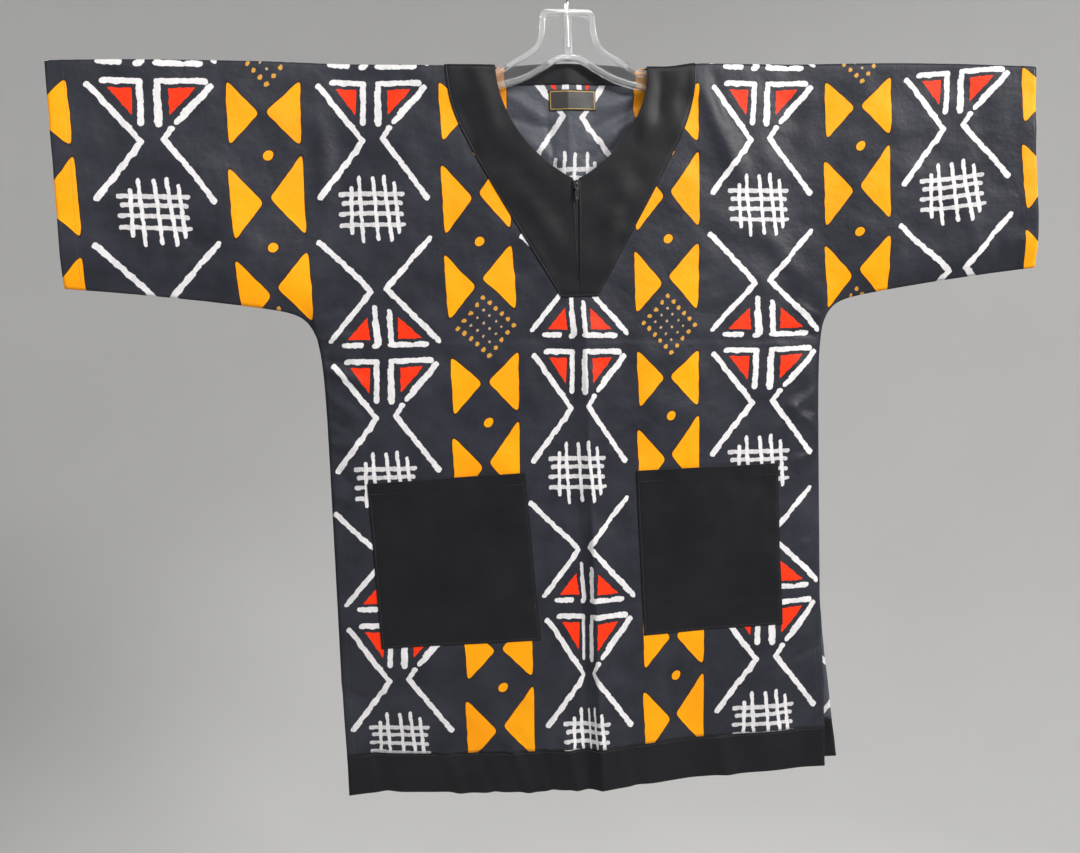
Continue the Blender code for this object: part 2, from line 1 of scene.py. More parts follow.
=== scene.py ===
"""Looks of a printed cotton dashiki shirt that hangs on a clear plastic hanger.

Units are metres, +Z is up and the front faces -Y. Cloth is worked out in the shirt's own sizes: u runs
across the shirt from its centre, towards the viewer's right, and w runs down from the shoulder line.
"""
import functools
import logging
import math
from dataclasses import dataclass, field
from enum import Enum
from typing import NamedTuple

import bmesh
import bpy
import numpy as np
from mathutils import Matrix, Vector

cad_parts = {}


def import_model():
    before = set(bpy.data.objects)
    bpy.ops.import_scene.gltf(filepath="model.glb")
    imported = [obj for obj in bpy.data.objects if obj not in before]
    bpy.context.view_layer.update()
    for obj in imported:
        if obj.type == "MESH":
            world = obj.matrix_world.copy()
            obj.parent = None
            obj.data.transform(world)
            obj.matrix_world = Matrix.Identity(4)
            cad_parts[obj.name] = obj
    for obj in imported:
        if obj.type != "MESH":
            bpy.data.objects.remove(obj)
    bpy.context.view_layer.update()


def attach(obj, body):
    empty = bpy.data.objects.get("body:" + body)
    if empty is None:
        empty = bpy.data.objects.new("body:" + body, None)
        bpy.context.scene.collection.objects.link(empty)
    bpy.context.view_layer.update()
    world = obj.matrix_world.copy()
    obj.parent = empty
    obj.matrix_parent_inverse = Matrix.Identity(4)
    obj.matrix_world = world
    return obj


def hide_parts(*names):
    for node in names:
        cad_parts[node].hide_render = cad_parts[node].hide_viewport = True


LOG = logging.getLogger("dashiki")
MM = 0.001
BODY = "shirt"
CLOTH = 0.6 * MM
SEAT = CLOTH + 0.15 * MM

Array = np.ndarray
Material = bpy.types.Material
Object = bpy.types.Object
Pair = tuple[float, float]
Triple = tuple[float, float, float]
Quad = tuple[float, float, float, float]
Corners = tuple[Pair, Pair, Pair]
Tones = tuple[Triple, Triple]


def smooth(share: Array) -> Array:
    """Rise from 0 to 1 with level ends."""
    share = np.clip(share, 0.0, 1.0)
    return share * share * (3.0 - 2.0 * share)


class Side(Enum):
    """Front or back of the shirt, as the sign of its Y."""

    FRONT = -1
    BACK = 1


class FoldKind(Enum):
    """How a crease looks across its line."""

    SOFT = "soft"
    PRESSED = "pressed"


class Crease(NamedTuple):
    """One listed crease: its line on the cloth, its widths left and right of it, and its height."""

    SLOPE_POWER = 1.4
    SOFT_ENDS, SOFT_WIDTHS = 0.4, 3.0
    PRESSED_ENDS, PRESSED_MOST = 0.3, 0.06

    side: Side
    kind: FoldKind
    u_start: float
    w_start: float
    u_end: float
    w_end: float
    left: float
    right: float
    height: float
    bow: float = 0.0

    def rise(self, u: Array, w: Array) -> Array:
        """Its height over the cloth around it.

        A soft crease falls off as a bell beside its line. A pressed one is a straight slope on its left
        and a slow fall on its right, so its line stays sharp. Both fade at the ends of the line, which
        bows aside as a parabola.

        Args:
            u: places across.
            w: places down.
        Returns:
            The outward height at each place.
        """
        run_u, run_w = self.u_end - self.u_start, self.w_end - self.w_start
        length = math.hypot(run_u, run_w)
        along = ((u - self.u_start) * run_u + (w - self.w_start) * run_w) / length
        away = ((u - self.u_start) * run_w - (w - self.w_start) * run_u) / length
        share = np.clip(along / length, 0.0, 1.0)
        away = away - self.bow * 4.0 * share * (1.0 - share)
        width = np.where(away < 0.0, self.left, self.right)
        if self.kind is FoldKind.SOFT:
            across = np.exp(-(away / width) ** 2)
            fade = min(self.SOFT_ENDS * length, self.SOFT_WIDTHS * max(self.left, self.right))
        else:
            slope = np.maximum(1.0 - np.abs(away) / self.left, 0.0) ** self.SLOPE_POWER
            across = np.where(away < 0.0, slope, np.exp(-np.abs(away) / width))
            fade = min(self.PRESSED_ENDS * length, self.PRESSED_MOST)
        return self.height * across * smooth(along / fade) * smooth((length - along) / fade)


def creases(side: Side, kind: FoldKind, *rows: tuple[float, ...]) -> tuple[Crease, ...]:
    """Creases of one side and one kind.

    Args:
        side: the side of the shirt that they lie on.
        kind: how they look across their line.
        rows: for each one its start, its end, its widths, its height and its bow, in millimetres.
    Returns:
        The creases, in metres.
    """
    return tuple(Crease(side, kind, *(value * MM for value in row)) for row in rows)


CREASES: tuple[Crease, ...] = (
    # Storage folds: down the centre and twice across
    *creases(Side.FRONT, FoldKind.PRESSED,
        (4, 250, 8, 900, 16, 50, 5.6), (5.8, 480, 8, 940, 14, 40, 4), (-330, 298, 330, 319, 3, 4, -0.8),
        (-330, 601, 140, 624, 3.5, 5, -0.8), (100, 623, 330, 629, 3.5, 5, -0.8)),
    *creases(Side.BACK, FoldKind.PRESSED,
        (-4.6, -20, 1, 900, 18, 24, -2.6), (-330, 310, 330, 306, 10, 20, -1.2),
        (-330, 615, 330, 612, 10, 20, -1.2)),
    # Large folds of the hem
    *creases(Side.FRONT, FoldKind.SOFT,
        (-195, 680, -205, 900, 40, 34, 3.6), (-95, 700, -85, 900, 30, 30, -3),
        (115, 700, 122, 900, 34, 30, -3), (215, 660, 228, 900, 34, 30, 3.2)),
    *creases(Side.BACK, FoldKind.SOFT,
        (-150, 690, -160, 900, 36, 36, 3.5), (150, 670, 165, 900, 36, 36, 3.5),
        (60, 720, 50, 900, 20, 24, -2), (-232, 720, -246, 900, 18, 24, -2.2)),
    # Slanting waves in the band of the hem
    *creases(Side.FRONT, FoldKind.SOFT,
        (-262, 780, -236, 890, 8, 10, -3.6), (-182, 774, -150, 886, 7, 10, 4.2),
        (-142, 784, -104, 888, 6, 8, -3.6), (-104, 776, -66, 886, 6, 8, 4.2),
        (-66, 780, -40, 888, 6, 8, -3.4), (-38, 764, -12, 888, 6, 8, 3.6),
        (40, 790, 62, 888, 9, 11, -2.8), (150, 786, 176, 888, 10, 11, 3.4)),
    *creases(Side.BACK, FoldKind.SOFT,
        (-90, 780, -70, 866, 8, 10, 1.2), (10, 790, 30, 868, 8, 12, -1.2),
        (205, 780, 232, 866, 9, 10, 1.3)),
    # Shoulders and the top of the sleeves
    *creases(Side.FRONT, FoldKind.SOFT,
        (134, -12, 202, 146, 10, 16, 3.8), (158, -4, 184, 70, 7, 8, -1.6),
        (214, 168, 292, 262, 10, 16, 2.4, -6), (252, 30, 262, 120, 16, 14, -1.4),
        (-284, 30, -280, 170, 10, 12, 1.8, 3), (-256, 60, -262, 210, 14, 12, -1.4),
        (-190, 10, -224, 120, 16, 16, 1.3), (-232, 150, -286, 240, 12, 14, 1.3, 4)),
    *creases(Side.BACK, FoldKind.SOFT,
        (-150, 8, -240, 150, 18, 14, 2.6, 4), (152, 10, 226, 128, 14, 16, 2.2),
        (236, 160, 290, 250, 12, 12, 1.8), (-226, 170, -288, 262, 10, 14, 2)),
    # Sleeves
    *creases(Side.FRONT, FoldKind.SOFT,
        (330, 245, 430, 60, 30, 30, 2.5), (-330, 245, -430, 60, 30, 30, 2.5),
        (-402, 222, -418, 150, 8, 10, -1.4), (-452, 232, -444, 186, 5, 7, 1.3),
        (-372, 238, -352, 170, 9, 8, 1.2), (-476, 20, -484, 150, 14, 12, -1.2),
        (470, 226, 452, 140, 7, 9, 1.3), (492, 228, 486, 176, 5, 6, -1),
        (388, 226, 402, 166, 8, 8, -1.2), (360, 30, 392, 140, 18, 14, 1.4),
        (478, 26, 470, 120, 12, 12, -1)),
    *creases(Side.BACK, FoldKind.SOFT,
        (330, 240, 420, 60, 30, 30, 2.5), (-330, 240, -420, 60, 30, 30, 2.5),
        (452, 226, 440, 150, 8, 8, -1.3), (-466, 224, -450, 140, 7, 9, 1.3),
        (-380, 232, -398, 160, 8, 8, -1.3)),
    # Wrinkles under the left arm
    *creases(Side.FRONT, FoldKind.SOFT,
        (-312, 286, -258, 270, 4, 5, 2.6), (-312, 300, -252, 297, 3, 4, 2.8),
        (-310, 317, -256, 328, 4, 3, -2.6), (-312, 326, -238, 356, 5, 6, 3.4, 3),
        (-310, 346, -250, 396, 4, 6, 2.8, 2), (-310, 378, -258, 404, 4, 4, -2.6),
        (-310, 408, -246, 420, 5, 5, 3.4, -3), (-308, 424, -258, 470, 4, 5, -2.4),
        (-306, 470, -252, 488, 5, 6, 2.4), (-306, 684, -254, 716, 5, 6, 2.6),
        (-304, 714, -230, 724, 5, 7, -2.2)),
    # Wrinkles under the right arm and beside the vent
    *creases(Side.FRONT, FoldKind.SOFT,
        (312, 302, 258, 272, 4, 5, 2.6), (312, 314, 250, 305, 4, 4, -2.2),
        (308, 362, 246, 404, 4, 6, 3.2), (246, 390, 308, 436, 6, 4, 3), (306, 406, 256, 399, 4, 4, -2),
        (306, 440, 252, 468, 5, 5, 2.2), (306, 548, 258, 572, 5, 5, 2), (306, 644, 252, 674, 5, 6, 2.4),
        (306, 684, 246, 708, 6, 6, -2.2), (304, 734, 250, 766, 6, 7, 2.4)),
    *creases(Side.BACK, FoldKind.SOFT,
        (297, 300, 252, 322, 5, 6, 1.3), (294, 344, 256, 372, 5, 6, -1.1),
        (292, 400, 258, 416, 5, 6, 1.2), (-297, 296, -250, 314, 5, 6, 1.3),
        (-294, 350, -262, 366, 5, 5, 1.2), (-292, 420, -256, 448, 5, 7, -1.2)),
    # Body between the yoke and the pockets
    *creases(Side.FRONT, FoldKind.PRESSED,
        (-144, 86, -143, 206, 4, 6, -0.7)),
    *creases(Side.FRONT, FoldKind.SOFT,
        (-110, 214, -128, 292, 12, 12, 1), (52, 292, 92, 420, 16, 18, 1.1, 6),
        (46, 404, 20, 430, 4, 5, 0.8), (-60, 330, -200, 450, 22, 22, 1.2, -10),
        (170, 330, 220, 455, 20, 18, -1.2), (-250, 505, -282, 600, 10, 12, 1.2),
        (-30, 470, -44, 660, 14, 14, 1.2), (30, 640, 46, 780, 12, 14, -1)),
    *creases(Side.BACK, FoldKind.SOFT,
        (-50, 160, -170, 320, 20, 20, 1.6, 10), (60, 180, 190, 350, 20, 20, 1.5, -8),
        (110, 390, 130, 580, 24, 20, -1.4), (-120, 400, -100, 600, 20, 24, -1.3)),
    # Yoke
    *creases(Side.FRONT, FoldKind.SOFT,
        (90, -12, 74, 94, 8, 10, 1.7, 3), (128, -12, 110, 66, 9, 9, 1.2),
        (-116, -14, -90, 90, 11, 12, 1.7, 3), (-70, 120, -20, 210, 12, 14, 1.5),
        (62, 110, 26, 226, 13, 11, 1.3), (-56, 186, -24, 274, 9, 10, 1.3),
        (-134, 20, -106, 120, 9, 9, -1.2), (104, 0, 98, 70, 7, 7, -1.2)),
    # Inside of the back, seen through the neck
    *creases(Side.BACK, FoldKind.SOFT,
        (-92, 18, -28, 64, 5, 7, -3, 3), (-88, 50, -14, 68, 4, 5, 2.6), (-62, 74, -6, 108, 5, 6, -2.4),
        (-28, 52, -20, 130, 4, 5, 2), (94, 20, 22, 46, 4, 6, -3, 2), (90, 32, 14, 72, 4, 5, 2.6),
        (80, 52, 26, 84, 4, 5, -2.6), (62, 82, 8, 104, 5, 6, 2)),
)


def bands(*parts: Triple) -> Array:
    """Rising values made of bands.

    Args:
        parts: for each band its start, its end and its step.
    Returns:
        The values, each band's end shared with the next one's start.
    """
    values = [np.linspace(start, end, max(2, round((end - start) / step) + 1))
              for start, end, step in parts]
    return np.unique(np.round(np.concatenate(values), 6))


@dataclass(frozen=True)
class ShirtForm:
    """The shirt's cut and the way it hangs. It turns cloth coordinates into places in the room."""

    shoulder_z: float = -0.118
    centre_x: float = 0.003
    length: float = 0.848
    chest_half: float = 0.2905
    armpit_x: float = 0.297
    armpit_w: float = 0.297
    armpit_fade: float = 0.03
    span_half: float = 0.5315
    cuff_height: float = 0.224
    sleeve_rise: float = 0.205
    sleeve_fillet: float = 0.009
    neck_half: float = 0.0875
    neck_depth: float = 0.126
    neck_power: float = 0.8
    neck_corner: float = 0.0805
    back_neck_rise: float = 0.006
    back_neck_fade: float = 0.03
    yoke_half: float = 0.147
    yoke_length: float = 0.259
    yoke_tip: float = 0.0225
    yoke_slope: float = 0.588
    yoke_round: float = 0.02
    slit_half: float = 0.0007
    slit_spread: float = 0.0027
    slit_end: float = 0.234
    band_top: float = 0.798
    vent_top: float = 0.632
    body_depth: float = 0.008
    hem_depth: float = 0.0025
    hem_start: float = 0.5
    hem_spread: float = 0.35
    cuff_depth: float = -0.0015
    cuff_start: float = 0.3
    cuff_spread: float = 0.23
    fold_radius: float = 0.0034
    lift_right: float = 0.0052
    lift_fade: float = 0.024
    lift_start: float = 0.105
    lift_spread: float = 0.05
    reach_left: float = 0.0065
    reach_right: float = 0.0055
    rise_left: float = 0.0028
    rise_right: float = 0.0046
    rise_start: float = 0.665
    rise_spread: float = 0.085
    reach_start: float = 0.34
    reach_spread: float = 0.19
    reach_top: float = 0.05
    reach_fade: float = 0.15
    ridge_half: float = 0.00005
    seam_depth: float = 0.00042
    seam_ramp: float = 0.04
    vent_spread: float = 0.25
    bend_start: float = 0.25
    bend_round: float = 0.08
    forward: float = 0.244
    droop: float = 0.017
    back_swing: float = 0.026
    corner_back: float = 0.028
    corner_lift: float = 0.01
    corner_top: float = 0.62
    corner_inner: float = 0.02
    slope_step: float = 0.00002
    seam_flat: float = 0.01
    wave_share: float = 0.7
    wave_bend: float = 2.3
    waves: tuple[Pair, ...] = (
        (0.17, 0.55), (0.12, 0.45), (0.084, 0.36), (0.061, 0.3), (0.043, 0.2), (0.033, 0.14),
        (0.024, 0.09),
    )

    def side_x(self, w: Array) -> Array:
        """Half width of the body at a height, wider towards the armpit."""
        below = np.maximum(w - self.armpit_w, 0.0)
        return self.chest_half + (self.armpit_x - self.chest_half) * np.exp(-below / self.armpit_fade)

    def underside_w(self, across: Array) -> Array:
        """Sleeve's lower edge: a slanting line with an exponential curve down into the armpit.

        Args:
            across: distance from the shirt's centre.
        Returns:
            The edge's distance down from the shoulder line.
        """
        line = self.cuff_height + self.sleeve_rise * (self.span_half - across)
        corner = self.cuff_height + self.sleeve_rise * (self.span_half - self.armpit_x)
        fall = np.exp(-(across - self.armpit_x) / self.sleeve_fillet)
        return line + (self.armpit_w - corner) * fall

    def neck_x(self, w: Array) -> Array:
        """Half width of the front neckline, a V with a round point."""
        return self.neck_half * np.maximum(1.0 - (w / self.neck_depth) ** 2, 0.0) ** self.neck_power

    def front_inner_x(self, w: Array) -> Array:
        """Inner edge of the front: the neckline, then the slit for the zip, then the centre."""
        open_x = np.maximum(self.neck_x(np.minimum(w, self.neck_depth)), self.slit_x(w))
        return np.where(w < self.slit_end - 0.3 * MM, open_x, 0.0)

    def slit_x(self, w: Array) -> Array:
        """Half width of the slit for the zip, which narrows on its way down."""
        share = np.clip((self.slit_end - w) / (self.slit_end - self.neck_depth), 0.0, 1.0)
        return self.slit_half + self.slit_spread * share ** 0.8

    def yoke_x(self, w: Array) -> Array:
        """Outer edge of the yoke: a slanting line blended into an upright one near the shoulder."""
        line = self.yoke_tip + self.yoke_slope * (self.yoke_length - w)
        return 0.5 * (line + self.yoke_half - np.sqrt((line - self.yoke_half) ** 2 + self.yoke_round ** 2))

    def seam_distance(self, across: Array, w: Array) -> Array:
        """Distance to the side seam or the sleeve's lower seam, growing again down the vent.

        Args:
            across: distance from the shirt's centre.
            w: distance down from the shoulder line.
        Returns:
            The distance along the cloth, never below 0.
        """
        down_vent = np.maximum(w - self.vent_top, 0.0) * self.vent_spread
        below = np.hypot(self.side_x(w) - across, down_vent)
        sleeve = self.underside_w(np.maximum(across, self.armpit_x)) - w
        inside = np.hypot(self.armpit_x - across, self.armpit_w - w)
        above = np.where(across > self.armpit_x, sleeve, inside)
        return np.maximum(np.where(w >= self.armpit_w, below, above), 0.0)

    def relief(self, side: Side, u: Array, w: Array) -> Array:
        """Outward height of the creases and of the hanging cloth's slow waves.

        The waves are a sum of a few sines in turned directions, each bent by another.

        Args:
            side: front or back, which have waves of their own.
            u: places across.
            w: places down.
        Returns:
            The height at each place.
        """
        height = np.zeros_like(u)
        for crease in CREASES:
            if crease.side is side:
                height = height + crease.rise(u, w)
        draw = np.random.default_rng(11 if side is Side.FRONT else 23)
        waves = np.zeros_like(u)
        for wavelength, share in self.waves:
            for _ in range(2):
                turn, phase, bend = draw.uniform(0.0, math.tau, 3)
                wave = (u * math.cos(turn) + w * math.sin(turn)) / wavelength
                other = (u * math.sin(turn) - w * math.cos(turn)) / (self.wave_bend * wavelength)
                warp = 0.6 * np.sin(math.tau * other + bend)
                waves = waves + share * MM * self.wave_share * np.sin(math.tau * wave + phase + warp)
        return height + waves

    def depth(self, side: Side, u: Array, w: Array) -> Array:
        """Distance of the cloth's middle from the shirt's middle plane, closed at folds and seams.

        The shoulder fold is a quarter circle, and beside a seam the depth opens as a quarter sine.

        Args:
            side: front or back.
            u: places across.
            w: places down.
        Returns:
            The distance at each place.
        """
        across = np.abs(u)
        fold_share = np.clip(1.0 - w / self.fold_radius, 0.0, 1.0)
        shoulder = np.sqrt(1.0 - fold_share ** 2)
        if side is Side.BACK:
            closed = smooth((across - self.neck_corner) / (self.neck_half - self.neck_corner))
            shoulder = 1.0 - (1.0 - shoulder) * closed
        hem = self.hem_depth * smooth((w - self.hem_start) / self.hem_spread)
        cuff = self.cuff_depth * smooth((across - self.cuff_start) / self.cuff_spread)
        seam_share = np.sin(0.5 * math.pi * np.minimum(self.seam_distance(across, w) / self.seam_ramp, 1.0))
        flat_share = smooth(self.seam_distance(across, w) / self.seam_flat)
        open_depth = self.body_depth + hem + cuff
        full = self.seam_depth + (open_depth - self.seam_depth) * seam_share
        full = full + self.relief(side, u, w) * flat_share
        return self.ridge_half + (full - self.ridge_half) * shoulder

    def point(self, side: Side, u: Array, w: Array) -> Array:
        """Place of the cloth's middle, with the sleeves bent forward and the left corner of the hem back.

        Args:
            side: front or back.
            u: places across.
            w: places down.
        Returns:
            X, Y and Z of each place, as the last axis.
        """
        across = np.abs(u)
        beyond = np.maximum(across - self.bend_start, 0.0)
        forward = self.forward * beyond ** 2 / (beyond + self.bend_round)
        droop = self.droop * (beyond / (self.span_half - self.bend_start)) ** 2
        corner = smooth((w - self.corner_top) / (self.length - self.corner_top))
        corner = corner * smooth((-u - self.corner_inner) / (self.chest_half - self.corner_inner))
        x = self.centre_x + u
        y = side.value * self.depth(side, u, w) - forward + self.corner_back * corner
        z = self.shoulder_z - w - droop + self.corner_lift * corner
        z = z + self.lift(u, w) + self.hem_rise(u, w)
        sleeve = smooth((across - self.reach_start) / self.reach_spread)
        right = self.reach_right * smooth((w - self.reach_top) / self.reach_fade)
        x = x + sleeve * np.where(u < 0.0, -self.reach_left, right)
        if side is Side.BACK:
            x = x + self.back_swing * np.maximum(w - self.vent_top, 0.0) / (self.length - self.vent_top)
            rise = self.back_neck_rise * np.maximum(1.0 - (across / self.neck_half) ** 2, 0.0)
            z = z + rise * np.maximum(1.0 - w / self.back_neck_fade, 0.0)
        return np.stack([x, y, z], axis=-1)

    def rows_down(self, count: int, *parts: Triple) -> Array:
        """Heights that start close together round the shoulder fold and go on in bands.

        Args:
            count: number of rows round the fold.
            parts: the bands below it.
        Returns:
            The heights, rising.
        """
        turn = self.fold_radius * (1.0 - np.cos(np.linspace(0.0, 0.5 * math.pi, count)))
        return np.unique(np.round(np.concatenate([turn, bands(*parts)]), 6))

    def lift(self, u: Array, w: Array) -> Array:
        """Rise of the right shoulder line, fading below it and towards the neck."""
        beyond = smooth((u - self.lift_start) / self.lift_spread)
        return self.lift_right * np.maximum(1.0 - w / self.lift_fade, 0.0) ** 2 * beyond

    def hem_rise(self, u: Array, w: Array) -> Array:
        """How far the cloth above the hem is drawn up, more so on the right.

        Args:
            u: places across.
            w: places down.
        Returns:
            The upward distance at each place.
        """
        share = smooth((u + self.chest_half) / (2.0 * self.chest_half))
        drawn = self.rise_left + (self.rise_right - self.rise_left) * share
        return drawn * smooth((w - self.rise_start) / self.rise_spread)

    def normal(self, side: Side, u: Array, w: Array) -> Array:
        """Outward unit normal: the cross product of the slopes across and down, made one long.

        Args:
            side: front or back.
            u: places across.
            w: places down.
        Returns:
            The normal at each place.
        """
        step = self.slope_step
        across = self.point(side, u + step, w) - self.point(side, u - step, w)
        down = self.point(side, u, w + step) - self.point(side, u, np.maximum(w - step, 0.0))
        normal = side.value * np.cross(across, down)
        return normal / np.linalg.norm(normal, axis=-1, keepdims=True)

    def moved(self, side: Side, u: Array, w: Array, out: Array | float) -> Array:
        """Place of the cloth moved outwards along its normal, or inwards for a negative distance."""
        lift = np.broadcast_to(out, u.shape)[..., None]
        return self.point(side, u, w) + lift * self.normal(side, u, w)


SHIRT = ShirtForm()


class Net:
    """Node tree of one finish."""

    def __init__(self, name: str) -> None:
        """Start a material that holds its output and its Principled shader.

        Args:
            name: the material's name.
        """
        self.material = bpy.data.materials.new(name)
        self.material.use_nodes = True
        self.tree = self.material.node_tree
        self.shader = self.tree.nodes["Principled BSDF"]

    def node(self, kind: str, settings: dict | None = None, inputs: dict | None = None) -> bpy.types.Node:
        """Add any node.

        Args:
            kind: the node's type.
            settings: its properties, set first.
            inputs: values or links for its sockets, by name or index.
        Returns:
            The new node.
        """
        made = self.tree.nodes.new(kind)
        for key, value in (settings or {}).items():
            setattr(made, key, value)
        for key, value in (inputs or {}).items():
            self.feed(made.inputs[key], value)
        return made

    def feed(self, socket: bpy.types.NodeSocket, value: object) -> None:
        """Link a wrapped socket to an input, or set the input's own value.

        Args:
            socket: the input.
            value: a wrapped socket, a number or a tuple.
        """
        if isinstance(value, Wire):
            self.tree.links.new(value.socket, socket)
        else:
            socket.default_value = value

    def maths(self, operation: str, *terms: object, clamp: bool = False) -> "Value":
        """Add a Math node.

        Args:
            operation: what it works out.
            terms: its values or links, in order.
            clamp: whether its result is held between 0 and 1.
        Returns:
            Its result.
        """
        inputs = dict(enumerate(terms))
        made = self.node("ShaderNodeMath", {"operation": operation, "use_clamp": clamp}, inputs)
        return Value(self, made.outputs[0])

    def chart(self) -> "Place":
        """The piece's own cloth coordinates, in metres."""
        return Place(self, self.node("ShaderNodeUVMap", {"uv_map": "cloth"}).outputs[0])

    def here(self) -> "Place":
        """Object coordinates."""
        return Place(self, self.node("ShaderNodeTexCoord").outputs["Object"])

    def noise(self, place: "Place", scale: float, detail: float = 2.0, rough: float = 0.5) -> "Value":
        """Soft noise between 0 and 1."""
        return Value(self, self.noise_node(place, scale, detail, rough).outputs[0])

    def noise_node(self, place: "Place", scale: float, detail: float, rough: float) -> bpy.types.Node:
        """Noise texture on a place, with its scale for each metre."""
        inputs = {"Vector": place, "Scale": scale, "Detail": detail, "Roughness": rough}
        return self.node("ShaderNodeTexNoise", {}, inputs)

    def blend(self, share: object, low: object, high: object) -> "Place":
        """Colour between two others.

        Args:
            share: how much of the second one there is.
            low: the first colour, as three numbers or a link.
            high: the second one.
        Returns:
            The colour.
        """
        low, high = ((*tone, 1.0) if isinstance(tone, tuple) else tone for tone in (low, high))
        made = self.node("ShaderNodeMix", {"data_type": "RGBA"}, {0: share, 6: low, 7: high})
        return Place(self, made.outputs[2])

    def bump(self, height: "Value") -> None:
        """Feed a height in metres to the shader's normal."""
        made = self.node("ShaderNodeBump", {}, {"Height": height, "Strength": 1.0, "Distance": 1.0})
        self.tree.links.new(made.outputs[0], self.shader.inputs["Normal"])

    def set(self, **values: object) -> None:
        """Set or link sockets of the shader, with spaces in their names written as underscores."""
        for key, value in values.items():
            self.feed(self.shader.inputs[key.replace("_", " ")], value)


class Wire:
    """A socket that carries a result."""

    def __init__(self, net: Net, socket: bpy.types.NodeSocket) -> None:
        """Keep the net and the socket."""
        self.net = net
        self.socket = socket


class Value(Wire):
    """Number socket with Python's operators."""

    def __add__(self, other: object) -> "Value":
        """Sum."""
        return self.net.maths("ADD", self, other)

    __radd__ = __add__

    def __sub__(self, other: object) -> "Value":
        """Difference."""
        return self.net.maths("SUBTRACT", self, other)

    def __rsub__(self, other: object) -> "Value":
        """Difference from a number."""
        return self.net.maths("SUBTRACT", other, self)

    def __mul__(self, other: object) -> "Value":
        """Product."""
        return self.net.maths("MULTIPLY", self, other)

    __rmul__ = __mul__

    def least(self, other: object) -> "Value":
        """Smaller of two."""
        return self.net.maths("MINIMUM", self, other)

    def most(self, other: object) -> "Value":
        """Larger of two."""
        return self.net.maths("MAXIMUM", self, other)

    def rounded_most(self, other: object, radius: float) -> "Value":
        """Larger of two, rounded where they meet."""
        return self.net.maths("SMOOTH_MAX", self, other, radius)

    def sine(self) -> "Value":
        """Sine."""
        return self.net.maths("SINE", self)

    def fraction(self) -> "Value":
        """Part after the point."""
        return self.net.maths("FRACT", self)

    def inside(self, edge: float) -> "Value":
        """1 where a distance is below 0 and 0 where it is above, over a soft edge."""
        return self.net.maths("MULTIPLY_ADD", self, -1.0 / edge, 0.5, clamp=True)

    def wrapped(self, low: float, high: float) -> "Value":
        """Value brought back into one repeat."""
        return self.net.maths("WRAP", self, low, high)


class Place(Wire):
    """Vector or colour socket."""

    def vector(self, operation: str, *terms: object) -> bpy.types.Node:
        """Add a Vector Math node on this place."""
        inputs = dict(enumerate((self, *terms)))
        return self.net.node("ShaderNodeVectorMath", {"operation": operation}, inputs)

    def __add__(self, other: object) -> "Place":
        """Sum."""
        return Place(self.net, self.vector("ADD", other).outputs[0])

    def __sub__(self, other: object) -> "Place":
        """Difference."""
        return Place(self.net, self.vector("SUBTRACT", other).outputs[0])

    def times(self, other: object) -> "Place":
        """Product, part by part."""
        return Place(self.net, self.vector("MULTIPLY", other).outputs[0])

    def dot(self, other: object) -> Value:
        """Dot product."""
        return Value(self.net, self.vector("DOT_PRODUCT", other).outputs["Value"])

    def length(self) -> Value:
        """Length."""
        return Value(self.net, self.vector("LENGTH").outputs["Value"])

    def spot_length(self) -> Value:
        """Length, stretched a little along a slant, for a spot that is not quite round.

        Returns:
            The square root of the two slants' squares, each with its own factor.
        """
        x, y, _ = self.parts()
        slant, other = (x - y) * 0.5, (x + y) * 0.62
        return self.net.maths("SQRT", slant * slant + other * other) * 1.35

    def parts(self) -> tuple[Value, Value, Value]:
        """X, Y and Z."""
        made = self.net.node("ShaderNodeSeparateXYZ", {}, {0: self})
        return tuple(Value(self.net, out) for out in made.outputs)

    def stroke(self, ends: Quad) -> Value:
        """Distance to a straight line: the offset from its start, less its share along the line.

        Args:
            ends: the start's and the end's places across and down, in millimetres.
        Returns:
            The distance, in metres.
        """
        x0, y0, x1, y1 = ends
        start, run = (x0 * MM, y0 * MM, 0.0), ((x1 - x0) * MM, (y1 - y0) * MM, 0.0)
        square = run[0] ** 2 + run[1] ** 2
        offset = self - start
        along = offset.dot((run[0] / square, run[1] / square, 0.0))
        share = self.net.maths("MULTIPLY", along, 1.0, clamp=True)
        made = self.net.node("ShaderNodeVectorMath", {"operation": "SCALE"}, {0: run, "Scale": share})
        return (offset - Place(self.net, made.outputs[0])).length()

    def triangle(self, corners: Corners, round_mm: float) -> Value:
        """Signed distance to a triangle: the largest distance to its edges, rounded where they meet.

        Args:
            corners: its corners, in millimetres.
            round_mm: how far the corners are rounded.
        Returns:
            The distance, in metres, below 0 inside.
        """
        points = np.array(corners) * MM
        centre = points.mean(axis=0)
        total = None
        for k in range(3):
            start, end = points[k], points[(k + 1) % 3]
            normal = np.array([end[1] - start[1], start[0] - end[0]])
            normal /= np.linalg.norm(normal)
            normal = normal if normal @ (start - centre) > 0 else -normal
            edge = self.dot((normal[0], normal[1], 0.0)) - float(normal @ start)
            total = edge if total is None else total.rounded_most(edge, round_mm * MM)
        return total


